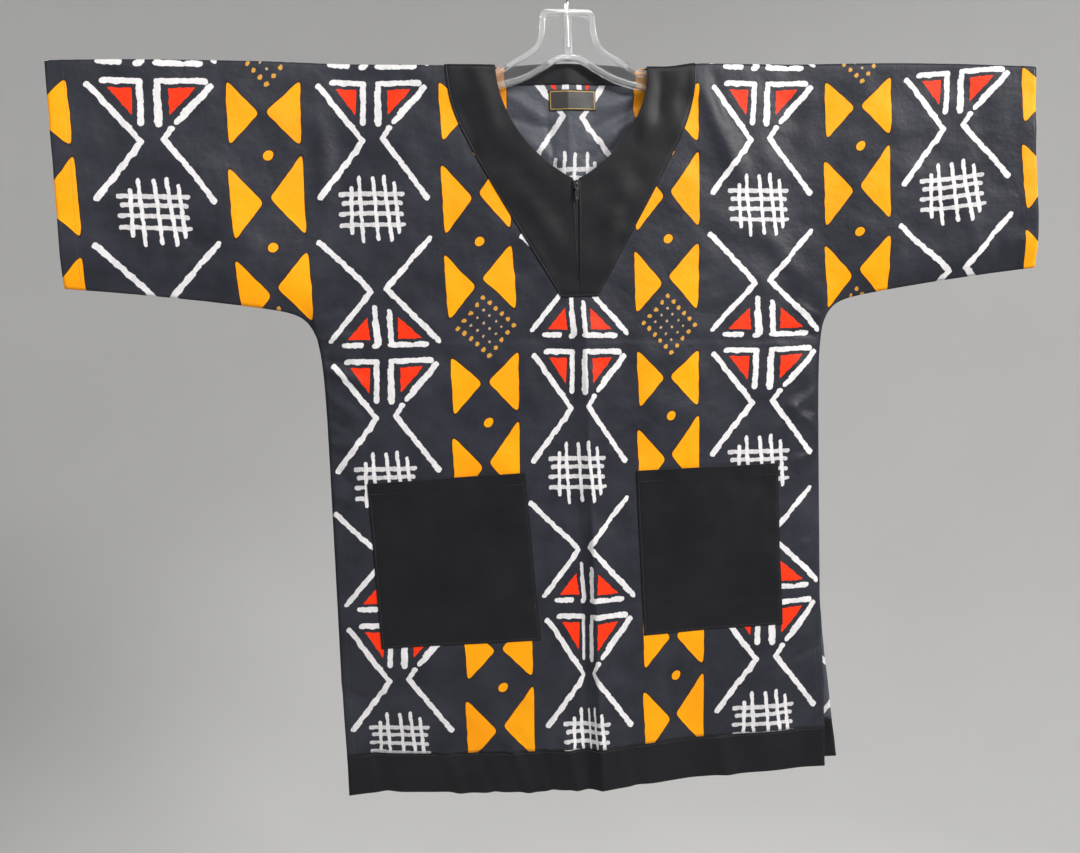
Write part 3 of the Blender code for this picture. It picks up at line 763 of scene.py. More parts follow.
@dataclass(frozen=True)
class MudClothPrint:
    """Repeat of the print: a column of crosses and grids in white and red, and one of gold wedges.

    Strokes are lines from one point to another and wedges are triangles, all in millimetres from the
    middle of their motif.
    """

    across: float = 0.222
    down: float = 0.305
    cross_u: float = -0.003
    mirror_w: float = 0.3155
    stroke_half: float = 2.95
    weft_half: float = 2.4
    warp_half: float = 1.95
    crosses: tuple[Quad, ...] = (
        (-42, -9.5, -24, -8.8), (-9, -8.0, -6, -7.8), (8, -8.4, 48, -8.2), (-7.4, -50, -5.2, -10),
        (8.6, -46, 9.6, -9), (-41, 8.8, -8, 9.4), (-8, 9.4, -10, 52), (8, 9.6, 53, 9.8), (8, 9.6, 6.6, 54),
        (-55, 13, -11, 72), (-11, 72, -57, 131), (58, 15, 24, 52), (18, 59, 10, 69.5), (10, 69.5, 56, 134),
        (-57, -15, -10, -68), (-10, -68, -61, -125), (62, -12, 6.8, -71), (6.8, -71, 57, -126),
    )
    thick: tuple[Quad, ...] = ((56, 17, 31, 44), (7.2, 20, 6.4, 50), (-7.2, -34, -5.4, -12))
    wefts: tuple[Quad, ...] = (
        (-37, -23.6, 29, -21.8), (-34, -14, 27, -12.4), (-37, -2.6, 27, -0.6), (-37, 10.0, 29, 11.6),
    )
    warps: tuple[Quad, ...] = (
        (-25.5, -29.5, -26.5, 19.5), (-17.0, -40.5, -15.4, 29), (-2, -40, 0.8, 26.5),
        (9.5, -41, 15.4, 28.5), (20.6, -34, 24.0, 19.6),
    )
    reds: tuple[Corners, ...] = (
        ((-15.8, -39.5), (-13.8, -14.8), (-38.4, -15.4)), ((17.8, -39.5), (17.4, -14.8), (43.6, -15.1)),
        ((-37.6, 16.0), (-15.6, 16.6), (-17.4, 43.8)), ((17.6, 16.8), (43.6, 16.5), (17.6, 44.4)),
    )
    golds: tuple[Corners, ...] = (
        ((-37.5, 7), (-35.5, 75), (-3.5, 39.5)), ((38, 6), (37, 75), (2.5, 38.5)),
        ((-38.5, 96), (-37, 177), (-4, 135)), ((38.5, 81), (37.5, 172), (3, 130)),
        ((-39, -110), (-37, -33), (-5.5, -69.5)), ((37, -118), (36.5, -37), (0.5, -77.5)),
    )
    spots: tuple[Pair, ...] = ((3.4, 84.0), (1.6, 183.8))
    spot_half: float = 5.6
    heavier: float = 0.6
    gold_start: float = -0.1143
    red_round: float = 1.2
    gold_round: float = 9.0
    diamond_top: Pair = (0.5, -55.0)
    diamond_left: Pair = (-7.1, 8.0)
    diamond_right: Pair = (6.5, 6.7)
    diamond_counts: tuple[int, int] = (5, 6)
    dot_pitch: float = 9.6 * MM
    dot_half: float = 1.35 * MM
    rim_extra: float = 1.0 * MM
    line_wander: Triple = (3.0 * MM, 3.0 * MM, 0.0)
    gold_wander: Triple = (2.2 * MM, 2.2 * MM, 0.0)
    width_change: float = 3.4 * MM
    edge: float = 0.45 * MM
    ground: Tones = ((0.015, 0.0162, 0.023), (0.0345, 0.0362, 0.048))
    reverse_ground: Tones = ((0.05, 0.054, 0.068), (0.08, 0.086, 0.106))
    gold_shade: Triple = (0.02, 0.006, 0.002)
    golden: Tones = ((1.0, 0.262, 0.000), (1.0, 0.47, 0.000))
    scarlet: Tones = ((0.88, 0.026, 0.002), (0.98, 0.042, 0.003))
    chalk: Tones = ((0.54, 0.53, 0.56), (0.94, 0.92, 0.91))
    faint_chalk: Tones = ((0.4, 0.385, 0.41), (0.8, 0.775, 0.79))
    tan: Tones = ((0.5, 0.34, 0.2), (0.62, 0.3, 0.05))
    reverse_haze: float = 0.1

    def wandered(self, net: Net, place: Place, grain: float, most: Triple) -> Place:
        """Place moved a little by a coloured noise, as a hand-cut stencil wanders."""
        wander = Place(net, net.noise_node(place, grain, 1.0, 0.5).outputs[1])
        return place + (wander - (0.5, 0.5, 0.5)).times(most)

    def brushed(self, net: Net, place: Place) -> tuple[Place, Value]:
        """The wandering place of a brushed line, and the change of its width."""
        width = (net.noise(place, 85.0, 2.0, 0.6) - 0.5) * self.width_change
        return self.wandered(net, place, 150.0, self.line_wander), width

    def cell(self, net: Net, u: Value, w: Value, shift: Triple) -> Place:
        """Place in one repeat, measured from the middle of a motif.

        Args:
            net: the finish that it belongs to.
            u: place across the cloth.
            w: place down the cloth.
            shift: the motif's place across and down, and where its repeat starts above it.
        Returns:
            The place, in metres.
        """
        x = (u - shift[0]).wrapped(-0.5 * self.across, 0.5 * self.across)
        y = (w - shift[1]).wrapped(shift[2], shift[2] + self.down)
        return Place(net, net.node("ShaderNodeCombineXYZ", {}, {0: x, 1: y}).outputs[0])

    def union(self, distances: list[Value]) -> Value:
        """Distance to the nearest of several shapes."""
        return functools.reduce(Value.least, distances)

    def lines(self, place: Place, strokes: tuple[Quad, ...], half: float) -> Value:
        """Distance to the nearest of several strokes of a half width in millimetres."""
        return self.union([place.stroke(stroke) for stroke in strokes]) - half * MM

    def dots(self, net: Net, place: Place) -> tuple[Value, Value]:
        """Diamond of dots on a slanting lattice.

        A place is written as a sum of the lattice's two steps. The fractions of the two sums give the
        distance to the nearest dot, and their whole parts tell the diamond, its rim and the rest apart.

        Args:
            net: the finish that it belongs to.
            place: place in the gold motif.
        Returns:
            The distance to the nearest dot, and a mark of the larger ones on the rim.
        """
        inverse = np.linalg.inv(np.array([self.diamond_left, self.diamond_right]).T * MM)
        offset = place - (self.diamond_top[0] * MM, self.diamond_top[1] * MM, 0.0)
        sums = [offset.dot((row[0], row[1], 0.0)) + 0.5 for row in inverse]
        near_s, near_t = (value.fraction() - 0.5 for value in sums)
        wander = net.noise(place, 310.0, 1.0, 0.5) - 0.5
        near = net.maths("SQRT", near_s * near_s + near_t * near_t) * self.dot_pitch + wander * (2.4 * MM)
        out_s, out_t = (net.maths("ABSOLUTE", value - 0.5 * count) - 0.5 * count
                        for value, count in zip(sums, self.diamond_counts))
        out = out_s.most(out_t)
        rim = net.maths("GREATER_THAN", out, -1.0)
        beyond = net.maths("GREATER_THAN", out, 0.0) * 0.02
        return near - (rim * self.rim_extra + self.dot_half) + beyond, rim

    def colour(self, net: Net, reverse: bool) -> tuple[Place, Value]:
        """Colour of the printed cloth: each ink is laid over the last one by a mask of its distance.

        Args:
            net: the finish that it belongs to.
            reverse: whether it is the paler inner side.
        Returns:
            The colour, and a mask of the printed ink.
        """
        chart = net.chart()
        u, w, _ = chart.parts()
        at, middle, half = self.cross_u, self.mirror_w, 0.5 * self.down
        cross, width = self.brushed(net, self.cell(net, u, w, (at, middle, -half)))
        grid, grid_width = self.brushed(net, self.cell(net, u, w, (at, middle + half, -half)))
        gold = self.cell(net, u, w, (at + 0.5 * self.across, middle, self.gold_start))
        gold = self.wandered(net, gold, 60.0, self.gold_wander)
        lines = self.lines(cross, self.crosses, self.stroke_half)
        heavy = self.lines(cross, self.thick, self.stroke_half + self.heavier)
        wefts = self.lines(grid, self.wefts, self.weft_half) + grid_width * 0.4
        warps = self.lines(grid, self.warps, self.warp_half) + grid_width * 0.4
        white = (lines.least(heavy) + width).least(warps)
        red = self.union([cross.triangle(wedge, self.red_round) for wedge in self.reds])
        wedges = self.union([gold.triangle(wedge, self.gold_round) for wedge in self.golds])
        spots = [(gold - (x * MM, y * MM, 0.0)).spot_length() - self.spot_half * MM for x, y in self.spots]
        amber = wedges.least(self.union(spots))
        dot, rim = self.dots(net, gold)
        cloud = net.noise(chart, 9.0, 3.0, 0.55)
        fine = net.noise(chart, 260.0, 2.0, 0.6)
        streak = net.noise(chart.times((1.0, 0.35, 1.0)), 210.0, 3.0, 0.6)
        if reverse:
            colour = net.blend(cloud, *self.reverse_ground)
        else:
            rubbed = (net.noise(chart, 24.0, 5.0, 0.62) * 0.6 + cloud * 0.4 - 0.5) * 3.0 + 0.5
            colour = net.blend(rubbed, *self.ground)
        colour = net.blend((amber - 0.9 * MM).inside(0.5 * MM) * 0.8, colour, self.gold_shade)
        inks = ((dot, rim, self.tan), (amber, cloud, self.golden), (red, fine, self.scarlet),
                (wefts, streak, self.faint_chalk), (white, streak, self.chalk))
        for distance, share, tones in inks:
            colour = net.blend(distance.inside(self.edge), colour, net.blend(share, *tones))
        if reverse:
            colour = net.blend(self.reverse_haze, colour, self.reverse_ground[1])
        return colour, self.union([amber, red, white, wefts]).inside(self.edge)


def weave_height(net: Net, place: Place, pitch: float, height: float) -> Value:
    """Height of a plain weave: the product of two sines, one along each thread."""
    x, y, _ = place.parts()
    return (x * (math.tau / pitch)).sine() * (y * (math.tau / pitch)).sine() * height


@dataclass(frozen=True)
class Finish:
    """One finish. Each kind sets the sockets of a new material's shader in its own way."""

    name: str

    def dress(self, net: Net) -> None:
        """Set the shader's sockets."""
        raise NotImplementedError

    def build(self) -> Material:
        """Make the material.

        Returns:
            The material.
        """
        net = Net(self.name)
        self.dress(net)
        return net.material


@dataclass(frozen=True)
class PrintedCotton(Finish):
    """Plain woven cotton with the print, matt with a slight dressing."""

    name: str = "printed_cotton"
    reverse: bool = False
    crumple: float = 2.1

    def dress(self, net: Net) -> None:
        """Set the shader's sockets.

        Args:
            net: the finish's nodes.
        """
        colour, ink = MudClothPrint().colour(net, self.reverse)
        place = net.chart()
        crumple = net.noise(place, 26.0, 4.0, 0.55)
        fibre = net.noise(place.times((1.0, 0.12, 1.0)), 900.0, 2.0, 0.6)
        small = net.noise(place, 95.0, 3.0, 0.6)
        net.set(Base_Color=colour, Roughness=crumple * 0.16 + ink * 0.08 + 0.36, Specular_IOR_Level=0.2,
                Sheen_Weight=0.02, Sheen_Roughness=0.45)
        net.bump(crumple * (self.crumple * MM) + small * (0.2 * MM) + fibre * (0.012 * MM)
                 + weave_height(net, place, 0.62 * MM, 0.009 * MM))


@dataclass(frozen=True)
class PlainCotton(Finish):
    """Plain black cotton of the trims, with the faint lines of its yarn."""

    name: str = "black_cotton"
    colours: Tones = ((0.0075, 0.0079, 0.0096), (0.015, 0.0156, 0.018))
    crumple: float = 0.9

    def dress(self, net: Net) -> None:
        """Set the shader's sockets.

        Args:
            net: the finish's nodes.
        """
        place = net.chart()
        cloud = net.noise(place, 14.0, 4.0, 0.6)
        warp = net.noise(place.times((1.0, 0.03, 1.0)), 1100.0, 2.0, 0.6)
        weft = net.noise(place.times((0.03, 1.0, 1.0)), 1100.0, 2.0, 0.6)
        yarn = (warp + weft) * 0.5
        net.set(Base_Color=net.blend((cloud - 0.5) * 1.5 + yarn * 0.5 + 0.25, *self.colours),
                Roughness=cloud * 0.14 + 0.36, Specular_IOR_Level=0.15,
                Sheen_Weight=0.02, Sheen_Roughness=0.5)
        weave = weave_height(net, place, 0.7 * MM, 0.012 * MM)
        net.bump(cloud * (self.crumple * MM) + yarn * (0.05 * MM) + weave)


@dataclass(frozen=True)
class Thread(Finish):
    """Twisted sewing thread, its twist drawn in the base colour as light and dark stripes of painted shade.
    """

    name: str = "thread"
    twist: float = 0.5 * MM
    # Shaded and lit tones of the thread, blended by the twist as painted shade.
    colours: Tones = ((0.018, 0.018, 0.02), (0.05, 0.05, 0.055))

    def dress(self, net: Net) -> None:
        """Set the shader's sockets.

        Args:
            net: the finish's nodes.
        """
        x, y, z = net.here().parts()
        # Painted shade: the twist's plies show as light and dark stripes in the colour, not as a bump.
        twist = ((x + y + z) * (math.tau / self.twist)).sine()
        net.set(Base_Color=net.blend(twist * 0.5 + 0.5, *self.colours), Roughness=0.55, Sheen_Weight=0.2)


@dataclass(frozen=True)
class WovenLabel(Finish):
    """Bare woven label with a thin gold line round it."""

    name: str = "woven_label"
    half_width: float = 0.027
    half_height: float = 0.011
    inset: float = 0.0016
    line: float = 0.00035
    satin: Tones = ((0.01, 0.009, 0.009), (0.022, 0.02, 0.019))
    gold: Triple = (0.42, 0.26, 0.035)

    def dress(self, net: Net) -> None:
        """Set the shader's sockets: the gold line lies at one distance from the label's edge.

        Args:
            net: the finish's nodes.
        """
        chart = net.chart()
        x, y, _ = chart.parts()
        from_side = self.half_width - net.maths("ABSOLUTE", x)
        from_end = self.half_height - net.maths("ABSOLUTE", y)
        border = net.maths("ABSOLUTE", from_side.least(from_end) - self.inset) - self.line
        satin = (x * (math.tau / (0.35 * MM)) + y * (math.tau / (0.9 * MM))).sine()
        ground = net.blend(satin * 0.5 + 0.5, *self.satin)
        net.set(Base_Color=net.blend(border.inside(0.2 * MM), ground, self.gold),
                Roughness=satin * 0.06 + 0.46, Sheen_Weight=0.2)
        net.bump(satin * (0.012 * MM) + net.noise(chart, 60.0) * (0.4 * MM))


@dataclass(frozen=True)
class ClearPlastic(Finish):
    """Clear moulded plastic with faint flow marks and scratches."""

    name: str = "clear_plastic"
    clarity: float = 0.84
    colours: Tones = ((0.93, 0.95, 0.96), (0.98, 0.99, 0.99))

    def dress(self, net: Net) -> None:
        """Set the shader's sockets.

        Args:
            net: the finish's nodes.
        """
        place = net.here()
        flow = net.noise(place, 45.0, 3.0, 0.5)
        scratch = net.noise(place.times((1.0, 1.0, 0.15)), 700.0, 2.0, 0.7)
        net.set(Base_Color=net.blend(flow, *self.colours),
                Roughness=scratch * 0.16 + 0.02, IOR=1.49, Transmission_Weight=self.clarity)
        net.bump(flow * (0.35 * MM) + scratch * (0.02 * MM))


@dataclass(frozen=True)
class PlatedWire(Finish):
    """Bright plated steel wire with fine drawing lines."""

    name: str = "plated_wire"
    colours: Tones = ((0.56, 0.56, 0.55), (0.72, 0.72, 0.7))

    def dress(self, net: Net) -> None:
        """Set the shader's sockets.

        Args:
            net: the finish's nodes.
        """
        place = net.here()
        wear = net.noise(place, 220.0, 3.0, 0.6)
        net.set(Base_Color=net.blend(wear, *self.colours), Metallic=1.0,
                Roughness=wear * 0.2 + 0.12)
        net.bump(wear * (0.03 * MM))


@dataclass(frozen=True)
class ZipMetal(Finish):
    """Black lacquered metal of the slider and its pull, with random bright metal spots that are partly rubbed
    wear and partly painted glints.
    """

    name: str = "zip_metal"
    # Black lacquer, and bright metal for spots that are partly wear and partly painted glints.
    colours: Tones = ((0.022, 0.022, 0.024), (0.55, 0.54, 0.52))

    def dress(self, net: Net) -> None:
        """Set the shader's sockets.

        Args:
            net: the finish's nodes.
        """
        place = net.here()
        # Random bright metal spots: partly rubbed wear, partly painted glints of the black slider.
        wear = net.maths("MULTIPLY_ADD", net.noise(place, 650.0, 4.0, 0.7), 5.0, -2.7, clamp=True)
        net.set(Base_Color=net.blend(wear, *self.colours),
                Metallic=wear * 0.7 + 0.3, Roughness=0.34 - wear * 0.08)
        net.bump(net.noise(place, 900.0) * (0.02 * MM))


@dataclass(frozen=True)
class ZipTape(Finish):
    """Ribbed black tape of the zip and its nylon teeth."""

    name: str = "zip_tape"
    colours: Tones = ((0.008, 0.008, 0.009), (0.02, 0.02, 0.022))

    def dress(self, net: Net) -> None:
        """Set the shader's sockets.

        Args:
            net: the finish's nodes.
        """
        x, y, z = net.here().parts()
        rib = (z * (math.tau / (1.1 * MM))).sine() * (x * (math.tau / (0.6 * MM))).sine()
        net.set(Base_Color=net.blend(rib * 0.5 + 0.5, *self.colours), Roughness=rib * 0.08 + 0.6)
        net.bump(rib * (0.03 * MM))


def new_mesh(name: str, points: Array, faces: list) -> bpy.types.Mesh:
    """Make a mesh.

    Args:
        name: its name.
        points: places, with X, Y and Z as the last axis.
        faces: the corners of each face, as indices.
    Returns:
        The mesh.
    """
    mesh = bpy.data.meshes.new(name)
    mesh.from_pydata(points.reshape(-1, 3).tolist(), [], faces)
    return mesh


def new_object(mesh: bpy.types.Mesh) -> Object:
    """Put a mesh into the scene at the origin.

    Args:
        mesh: the mesh, which gives its name too.
    Returns:
        The object.
    """
    piece = bpy.data.objects.new(mesh.name, mesh)
    bpy.context.scene.collection.objects.link(piece)
    return piece


def cleaned(mesh: bpy.types.Mesh, merge: float = 0.0, outward: bool = False) -> None:
    """Close a mesh's seams and poles and shade it smooth.

    Args:
        mesh: the mesh, which is changed.
        merge: distance within which points become one, in metres.
        outward: whether the faces of a closed form are turned outwards.
    """
    bm = bmesh.new()
    bm.from_mesh(mesh)
    if merge:
        bmesh.ops.remove_doubles(bm, verts=bm.verts, dist=merge)
    if outward:
        bmesh.ops.recalc_face_normals(bm, faces=bm.faces)
    for face in bm.faces:
        face.smooth = True
    bm.to_mesh(mesh)
    bm.free()


class Surface(NamedTuple):
    """Grid of points and the cloth coordinates that belong to them."""

    points: Array
    chart: Array


def laid(side: Side, u: Array, w: Array, out: Array | float) -> Surface:
    """Grid at a distance from the cloth's middle, charted by its own cloth coordinates."""
    return Surface(SHIRT.moved(side, u, w, out), np.stack([u, w], axis=-1))


def grid_object(name: str, surfaces: list[Surface], side: Side) -> Object:
    """Join grids into one smooth open sheet.

    Args:
        name: the piece's name.
        surfaces: grids that meet edge to edge.
        side: the side of the shirt that the sheet faces.
    Returns:
        The object, with the cloth coordinates as its UV map.
    """
    vertices, charts, faces, first = [], [], [], 0
    for surface in surfaces:
        points, chart = surface.points, surface.chart
        cross = np.cross(points[1:, :-1] - points[:-1, :-1], points[:-1, 1:] - points[:-1, :-1])
        if cross[..., 1].sum() * side.value < 0.0:
            points, chart = points[:, ::-1], chart[:, ::-1]
        rows, columns = points.shape[:2]
        index = first + np.arange(rows * columns).reshape(rows, columns)
        quads = np.stack([index[:-1, :-1], index[1:, :-1], index[1:, 1:], index[:-1, 1:]], axis=-1)
        vertices.append(points.reshape(-1, 3))
        charts.append(chart.reshape(-1, 2))
        faces.append(quads.reshape(-1, 4))
        first += rows * columns
    mesh = new_mesh(name, np.concatenate(vertices), np.concatenate(faces).tolist())
    corners = np.empty(len(mesh.loops), dtype=np.int32)
    mesh.loops.foreach_get("vertex_index", corners)
    layer = mesh.uv_layers.new(name="cloth")
    layer.data.foreach_set("uv", np.concatenate(charts)[corners].astype(np.float32).ravel())
    cleaned(mesh, 0.02 * MM)
    return new_object(mesh)


def dressed(piece: Object, slot: str, *finishes: Material) -> Object:
    """Give a piece its finishes and its body.

    Args:
        piece: the piece.
        slot: not used.
        finishes: its materials, in the order of their indices.
    Returns:
        The piece.
    """
    for finish in finishes:
        piece.data.materials.append(finish)
    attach(piece, BODY)
    LOG.info("%s: %d faces", piece.name, len(piece.data.polygons))
    return piece


def thickened(piece: Object, thickness: float, inner_slot: int = 0) -> None:
    """Give a sheet its thickness about its middle.

    Args:
        piece: the open sheet.
        thickness: distance between its two faces.
        inner_slot: how many materials further on the inner face's one is.
    """
    wall = piece.modifiers.new("Cloth thickness", "SOLIDIFY")
    wall.thickness = thickness
    wall.offset = 0.0
    wall.material_offset = inner_slot


def sheet_area(surfaces: list[Surface]) -> float:
    """Area of grids: the sum of half the cross products of each cell's diagonals.

    Args:
        surfaces: the grids.
    Returns:
        The area in square metres.
    """
    total = 0.0
    for surface in surfaces:
        p = surface.points
        cross = np.cross(p[1:, 1:] - p[:-1, :-1], p[1:, :-1] - p[:-1, 1:])
        total += 0.5 * float(np.linalg.norm(cross, axis=-1).sum())
    return total


@dataclass
class PrintedPanels:
    """Front and back, each with its half sleeves in one piece."""

    finish: Material
    reverse: Material
    step: float = 0.0044
    back_mirror_shift: float = 0.0285
    right_skew: float = 0.065
    skew_start: float = 0.25
    skew_round: float = 0.03
    cuff_hem: float = 0.016
    drift_reach: float = 0.052
    drift_rest: float = 0.06
    tuck_u: float = 0.006
    tuck_width: float = 0.016
    tuck_left: float = 0.007
    tuck_right: float = 0.008
    tuck_start: float = 0.45
    tuck_growth: float = 0.27
    tuck_fade: float = 0.4
    tuck_reach: float = 0.21
    back_shift: float = -0.0025
    corner_shift: float = 0.012
    hem_relief: float = 0.25 * MM
    drifts: tuple[Quad, ...] = (
        (-260, 625, 2, -5), (-45, 620.5, 4, 0), (40, 620.5, -2, 1.5), (110, 640, 1.5, 1),
        (200, 620.5, 0, 2), (270, 625, 8, 1.5), (-225, 690, 0, 6), (10, 690, 0, 12), (170, 690, 0, 9.5),
        (-110, 690, 2.5, 7), (110, 690, -1.5, 10), (270, 690, 9, 10), (-225, 755, 1, 14.5), (0, 755, 0, 19),
        (220, 755, 3, 17), (-110, 755, 1.5, 16.5), (110, 755, 0, 17.5), (152, 760, -5, 17),
        (268, 765, 9, 16), (-220, 430, 0, 1.5), (-110, 430, 0, 0), (-45, 300, 4.5, -6), (45, 300, -6, -4.5),
        (-45, 370, 3, -1), (50, 370, -4, 0), (0, 450, -1, 0), (60, 450, -7, 0), (100, 240, -3, 0),
        (104, 340, -7, 0), (104, 430, -6.5, 1), (153, 290, -4.5, 0.5), (153, 350, -6, 2), (160, 440, -9, 3),
        (276, 290, 9, 1), (276, 345, 9, 1.5), (270, 440, 4, 2), (215, 235, 3.5, 0), (215, 350, 1, 2),
        (215, 450, -2.5, 3), (240, 40, 3.5, -1.5), (275, 120, 4, 0), (180, 100, -0.5, 1), (337, 50, 7, 0),
        (337, 130, 7, 0), (337, 210, 5, -1), (386, 20, 4.5, 0), (386, 125, -2, 3), (386, 190, 4.5, 0),
        (440, 140, 1.5, -1.5), (473, 12, 2, -4.5), (458, 220, 8.5, -3.5), (500, 122, 3, -9),
        (524, 30, 1.5, -8.5), (524, 118, 2.5, -12.5), (522, 195, 5.5, -13.5), (500, 165, 3, -11.5),
        (-333, 80, -4, 6), (-333, 170, -4, 4), (-333, 240, 0.5, 2), (-505, 80, 7.5, 1.5),
        (-495, 160, 10, -6.5), (-485, 230, 9, -5.5), (-430, 20, 2.5, 3), (-440, 120, 3, 1),
        (-410, 230, 2, 0), (-220, 100, 0, 0), (-220, 240, 0, 0), (-260, 20, 0, 2),
    )

    def print_chart(self, side: Side, u: Array, w: Array) -> Array:
        """Cloth coordinates of the print.

        On the back they are mirrored and moved. On the front the print's drift, a weighted mean of the
        nearest of the listed ones, and the centre tuck are taken off, and one sleeve is off grain.

        Args:
            side: front or back.
            u: places across.
            w: places down.
        Returns:
            The coordinates, as the last axis.
        """
        w = w - SHIRT.lift(u, w)
        if side is Side.BACK:
            moved = self.back_shift + self.corner_shift * smooth((w - 0.6) / 0.08) * smooth(u / 0.2)
            return np.stack([moved - u, w + self.back_mirror_shift], axis=-1)
        total, right, down = np.full_like(u, self.drift_rest), np.zeros_like(u), np.zeros_like(u)
        for at_u, at_w, to_right, to_down in self.drifts:
            weight = np.exp(-((u - at_u * MM) ** 2 + (w - at_w * MM) ** 2) / self.drift_reach ** 2)
            total, right, down = total + weight, right + weight * to_right, down + weight * to_down
        beyond = np.maximum(u - self.skew_start, 0.0)
        skew = self.right_skew * beyond ** 2 / (beyond + self.skew_round)
        across = u - right / total * MM - self.tuck(u, w)
        return np.stack([across, w + skew - down / total * MM], axis=-1)

    def tuck(self, u: Array, w: Array) -> Array:
        """Strip of the print that the centre crease swallows, which grows towards the hem.

        Args:
            u: places across.
            w: places down.
        Returns:
            How far the print moves in towards the crease, to the right as positive.
        """
        grow = smooth((w - self.tuck_start) / self.tuck_growth)
        crossing = np.clip((u - self.tuck_u) / self.tuck_width + 1.0, 0.0, 1.0)
        left = self.tuck_left * smooth((u + 0.2) / 0.19)
        fade = self.tuck_fade * np.clip((u - self.tuck_u) / self.tuck_reach, 0.0, 1.0)
        right = self.tuck_right * (1.0 - fade)
        return grow * (left * (1.0 - crossing) - right * crossing)

    def rows(self) -> Array:
        """Rows down to the armpit, closer together round the point of the neck.

        Returns:
            Their heights.
        """
        form = SHIRT
        return form.rows_down(7, (form.fold_radius, 0.104, self.step), (0.104, 0.12, 0.0022),
                              (0.12, form.neck_depth, 0.0008), (form.neck_depth, form.slit_end, self.step),
                              (form.slit_end, form.armpit_w, self.step))

    def lower_rows(self) -> Array:
        """Heights from the armpit to the band."""
        return bands((SHIRT.armpit_w, 0.34, 0.003), (0.34, SHIRT.band_top - 0.1 * MM, self.step))

    def body(self, side: Side, hand: int, shares: Array) -> Surface:
        """Half of the body, from its inner edge to the side.

        Args:
            side: front or back.
            hand: -1 for the left half and 1 for the right one.
            shares: columns, as shares of the way across.
        Returns:
            The half's grid.
        """
        form = SHIRT
        w = np.concatenate([self.rows(), self.lower_rows()[1:]])
        share, w = np.meshgrid(shares, w)
        inner = form.front_inner_x(w) if side is Side.FRONT else np.zeros_like(w)
        u = hand * (inner + (form.side_x(w) - inner) * share)
        return Surface(form.point(side, u, w), self.print_chart(side, u, w))

    def sleeve(self, side: Side, hand: int) -> Surface:
        """One half sleeve: its rows close up as it narrows towards the cuff.

        Args:
            side: front or back.
            hand: -1 for the left sleeve and 1 for the right one.
        Returns:
            The half sleeve's grid, raised a little over its turned hem.
        """
        form = SHIRT
        shares = bands((0.0, 0.1, 0.008), (0.1, 0.925, 0.019), (0.925, 1.0, 0.012))
        share, w = np.meshgrid(shares, self.rows())
        across = form.armpit_x + (form.span_half - form.armpit_x) * share
        squeeze = (form.underside_w(across) - form.fold_radius) / (form.armpit_w - form.fold_radius)
        w = np.where(w > form.fold_radius, form.fold_radius + (w - form.fold_radius) * squeeze, w)
        hem = self.hem_relief * smooth((across - (form.span_half - self.cuff_hem)) / (1.2 * MM))
        return Surface(form.moved(side, hand * across, w, hem), self.print_chart(side, hand * across, w))

    def build(self) -> None:
        """Make both panels."""
        shares = bands((0.0, 0.11, 0.005), (0.11, 1.0, 0.0149))
        for side in Side:
            name = side.name.lower()
            surfaces = [part for hand in (-1, 1)
                        for part in (self.body(side, hand, shares), self.sleeve(side, hand))]
            piece = grid_object(name, surfaces, side)
            thickened(piece, CLOTH, 1)
            dressed(piece, "printed_cotton", self.finish, self.reverse)
            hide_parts(name + "_panel")
            round(sheet_area(surfaces), 4)


class PocketPatch(NamedTuple):
    """Outline of one pocket: its corners across the shirt, and how its top and bottom lean."""

    name: str
    left_top: float
    right_top: float
    left_bottom: float
    right_bottom: float
    top: float
    bottom: float
    top_lean: float
    bottom_lean: float

    def place(self, share: Array, down: Array) -> tuple[Array, Array]:
        """Cloth coordinates of a place in the pocket.

        Args:
            share: how far across it lies, from 0 to 1.
            down: how far down it lies, from 0 to 1.
        Returns:
            Its u and w.
        """
        left = self.left_top + (self.left_bottom - self.left_top) * down
        right = self.right_top + (self.right_bottom - self.right_top) * down
        lean = self.top_lean + (self.bottom_lean - self.top_lean) * down
        height = self.top + (self.bottom - self.top) * down
        return left + (right - left) * share, height + lean * (share - 0.5)

    def mouth(self, share: Array, below: Array) -> Array:
        """How far the mouth stands open: most in the middle, fading below the edge."""
        sides = np.minimum(share, 1.0 - share) * (self.right_top - self.left_top)
        return 1.3 * MM * np.exp(-below / 0.02) * smooth(sides / 0.06)


POCKETS: tuple[PocketPatch, ...] = (
    PocketPatch("left", -0.25, -0.0705, -0.243, -0.0585, 0.4605, 0.6565, -0.0035, 0.003),
    PocketPatch("right", 0.061, 0.2365, 0.065, 0.239, 0.463, 0.661, 0.0, 0.0),
)


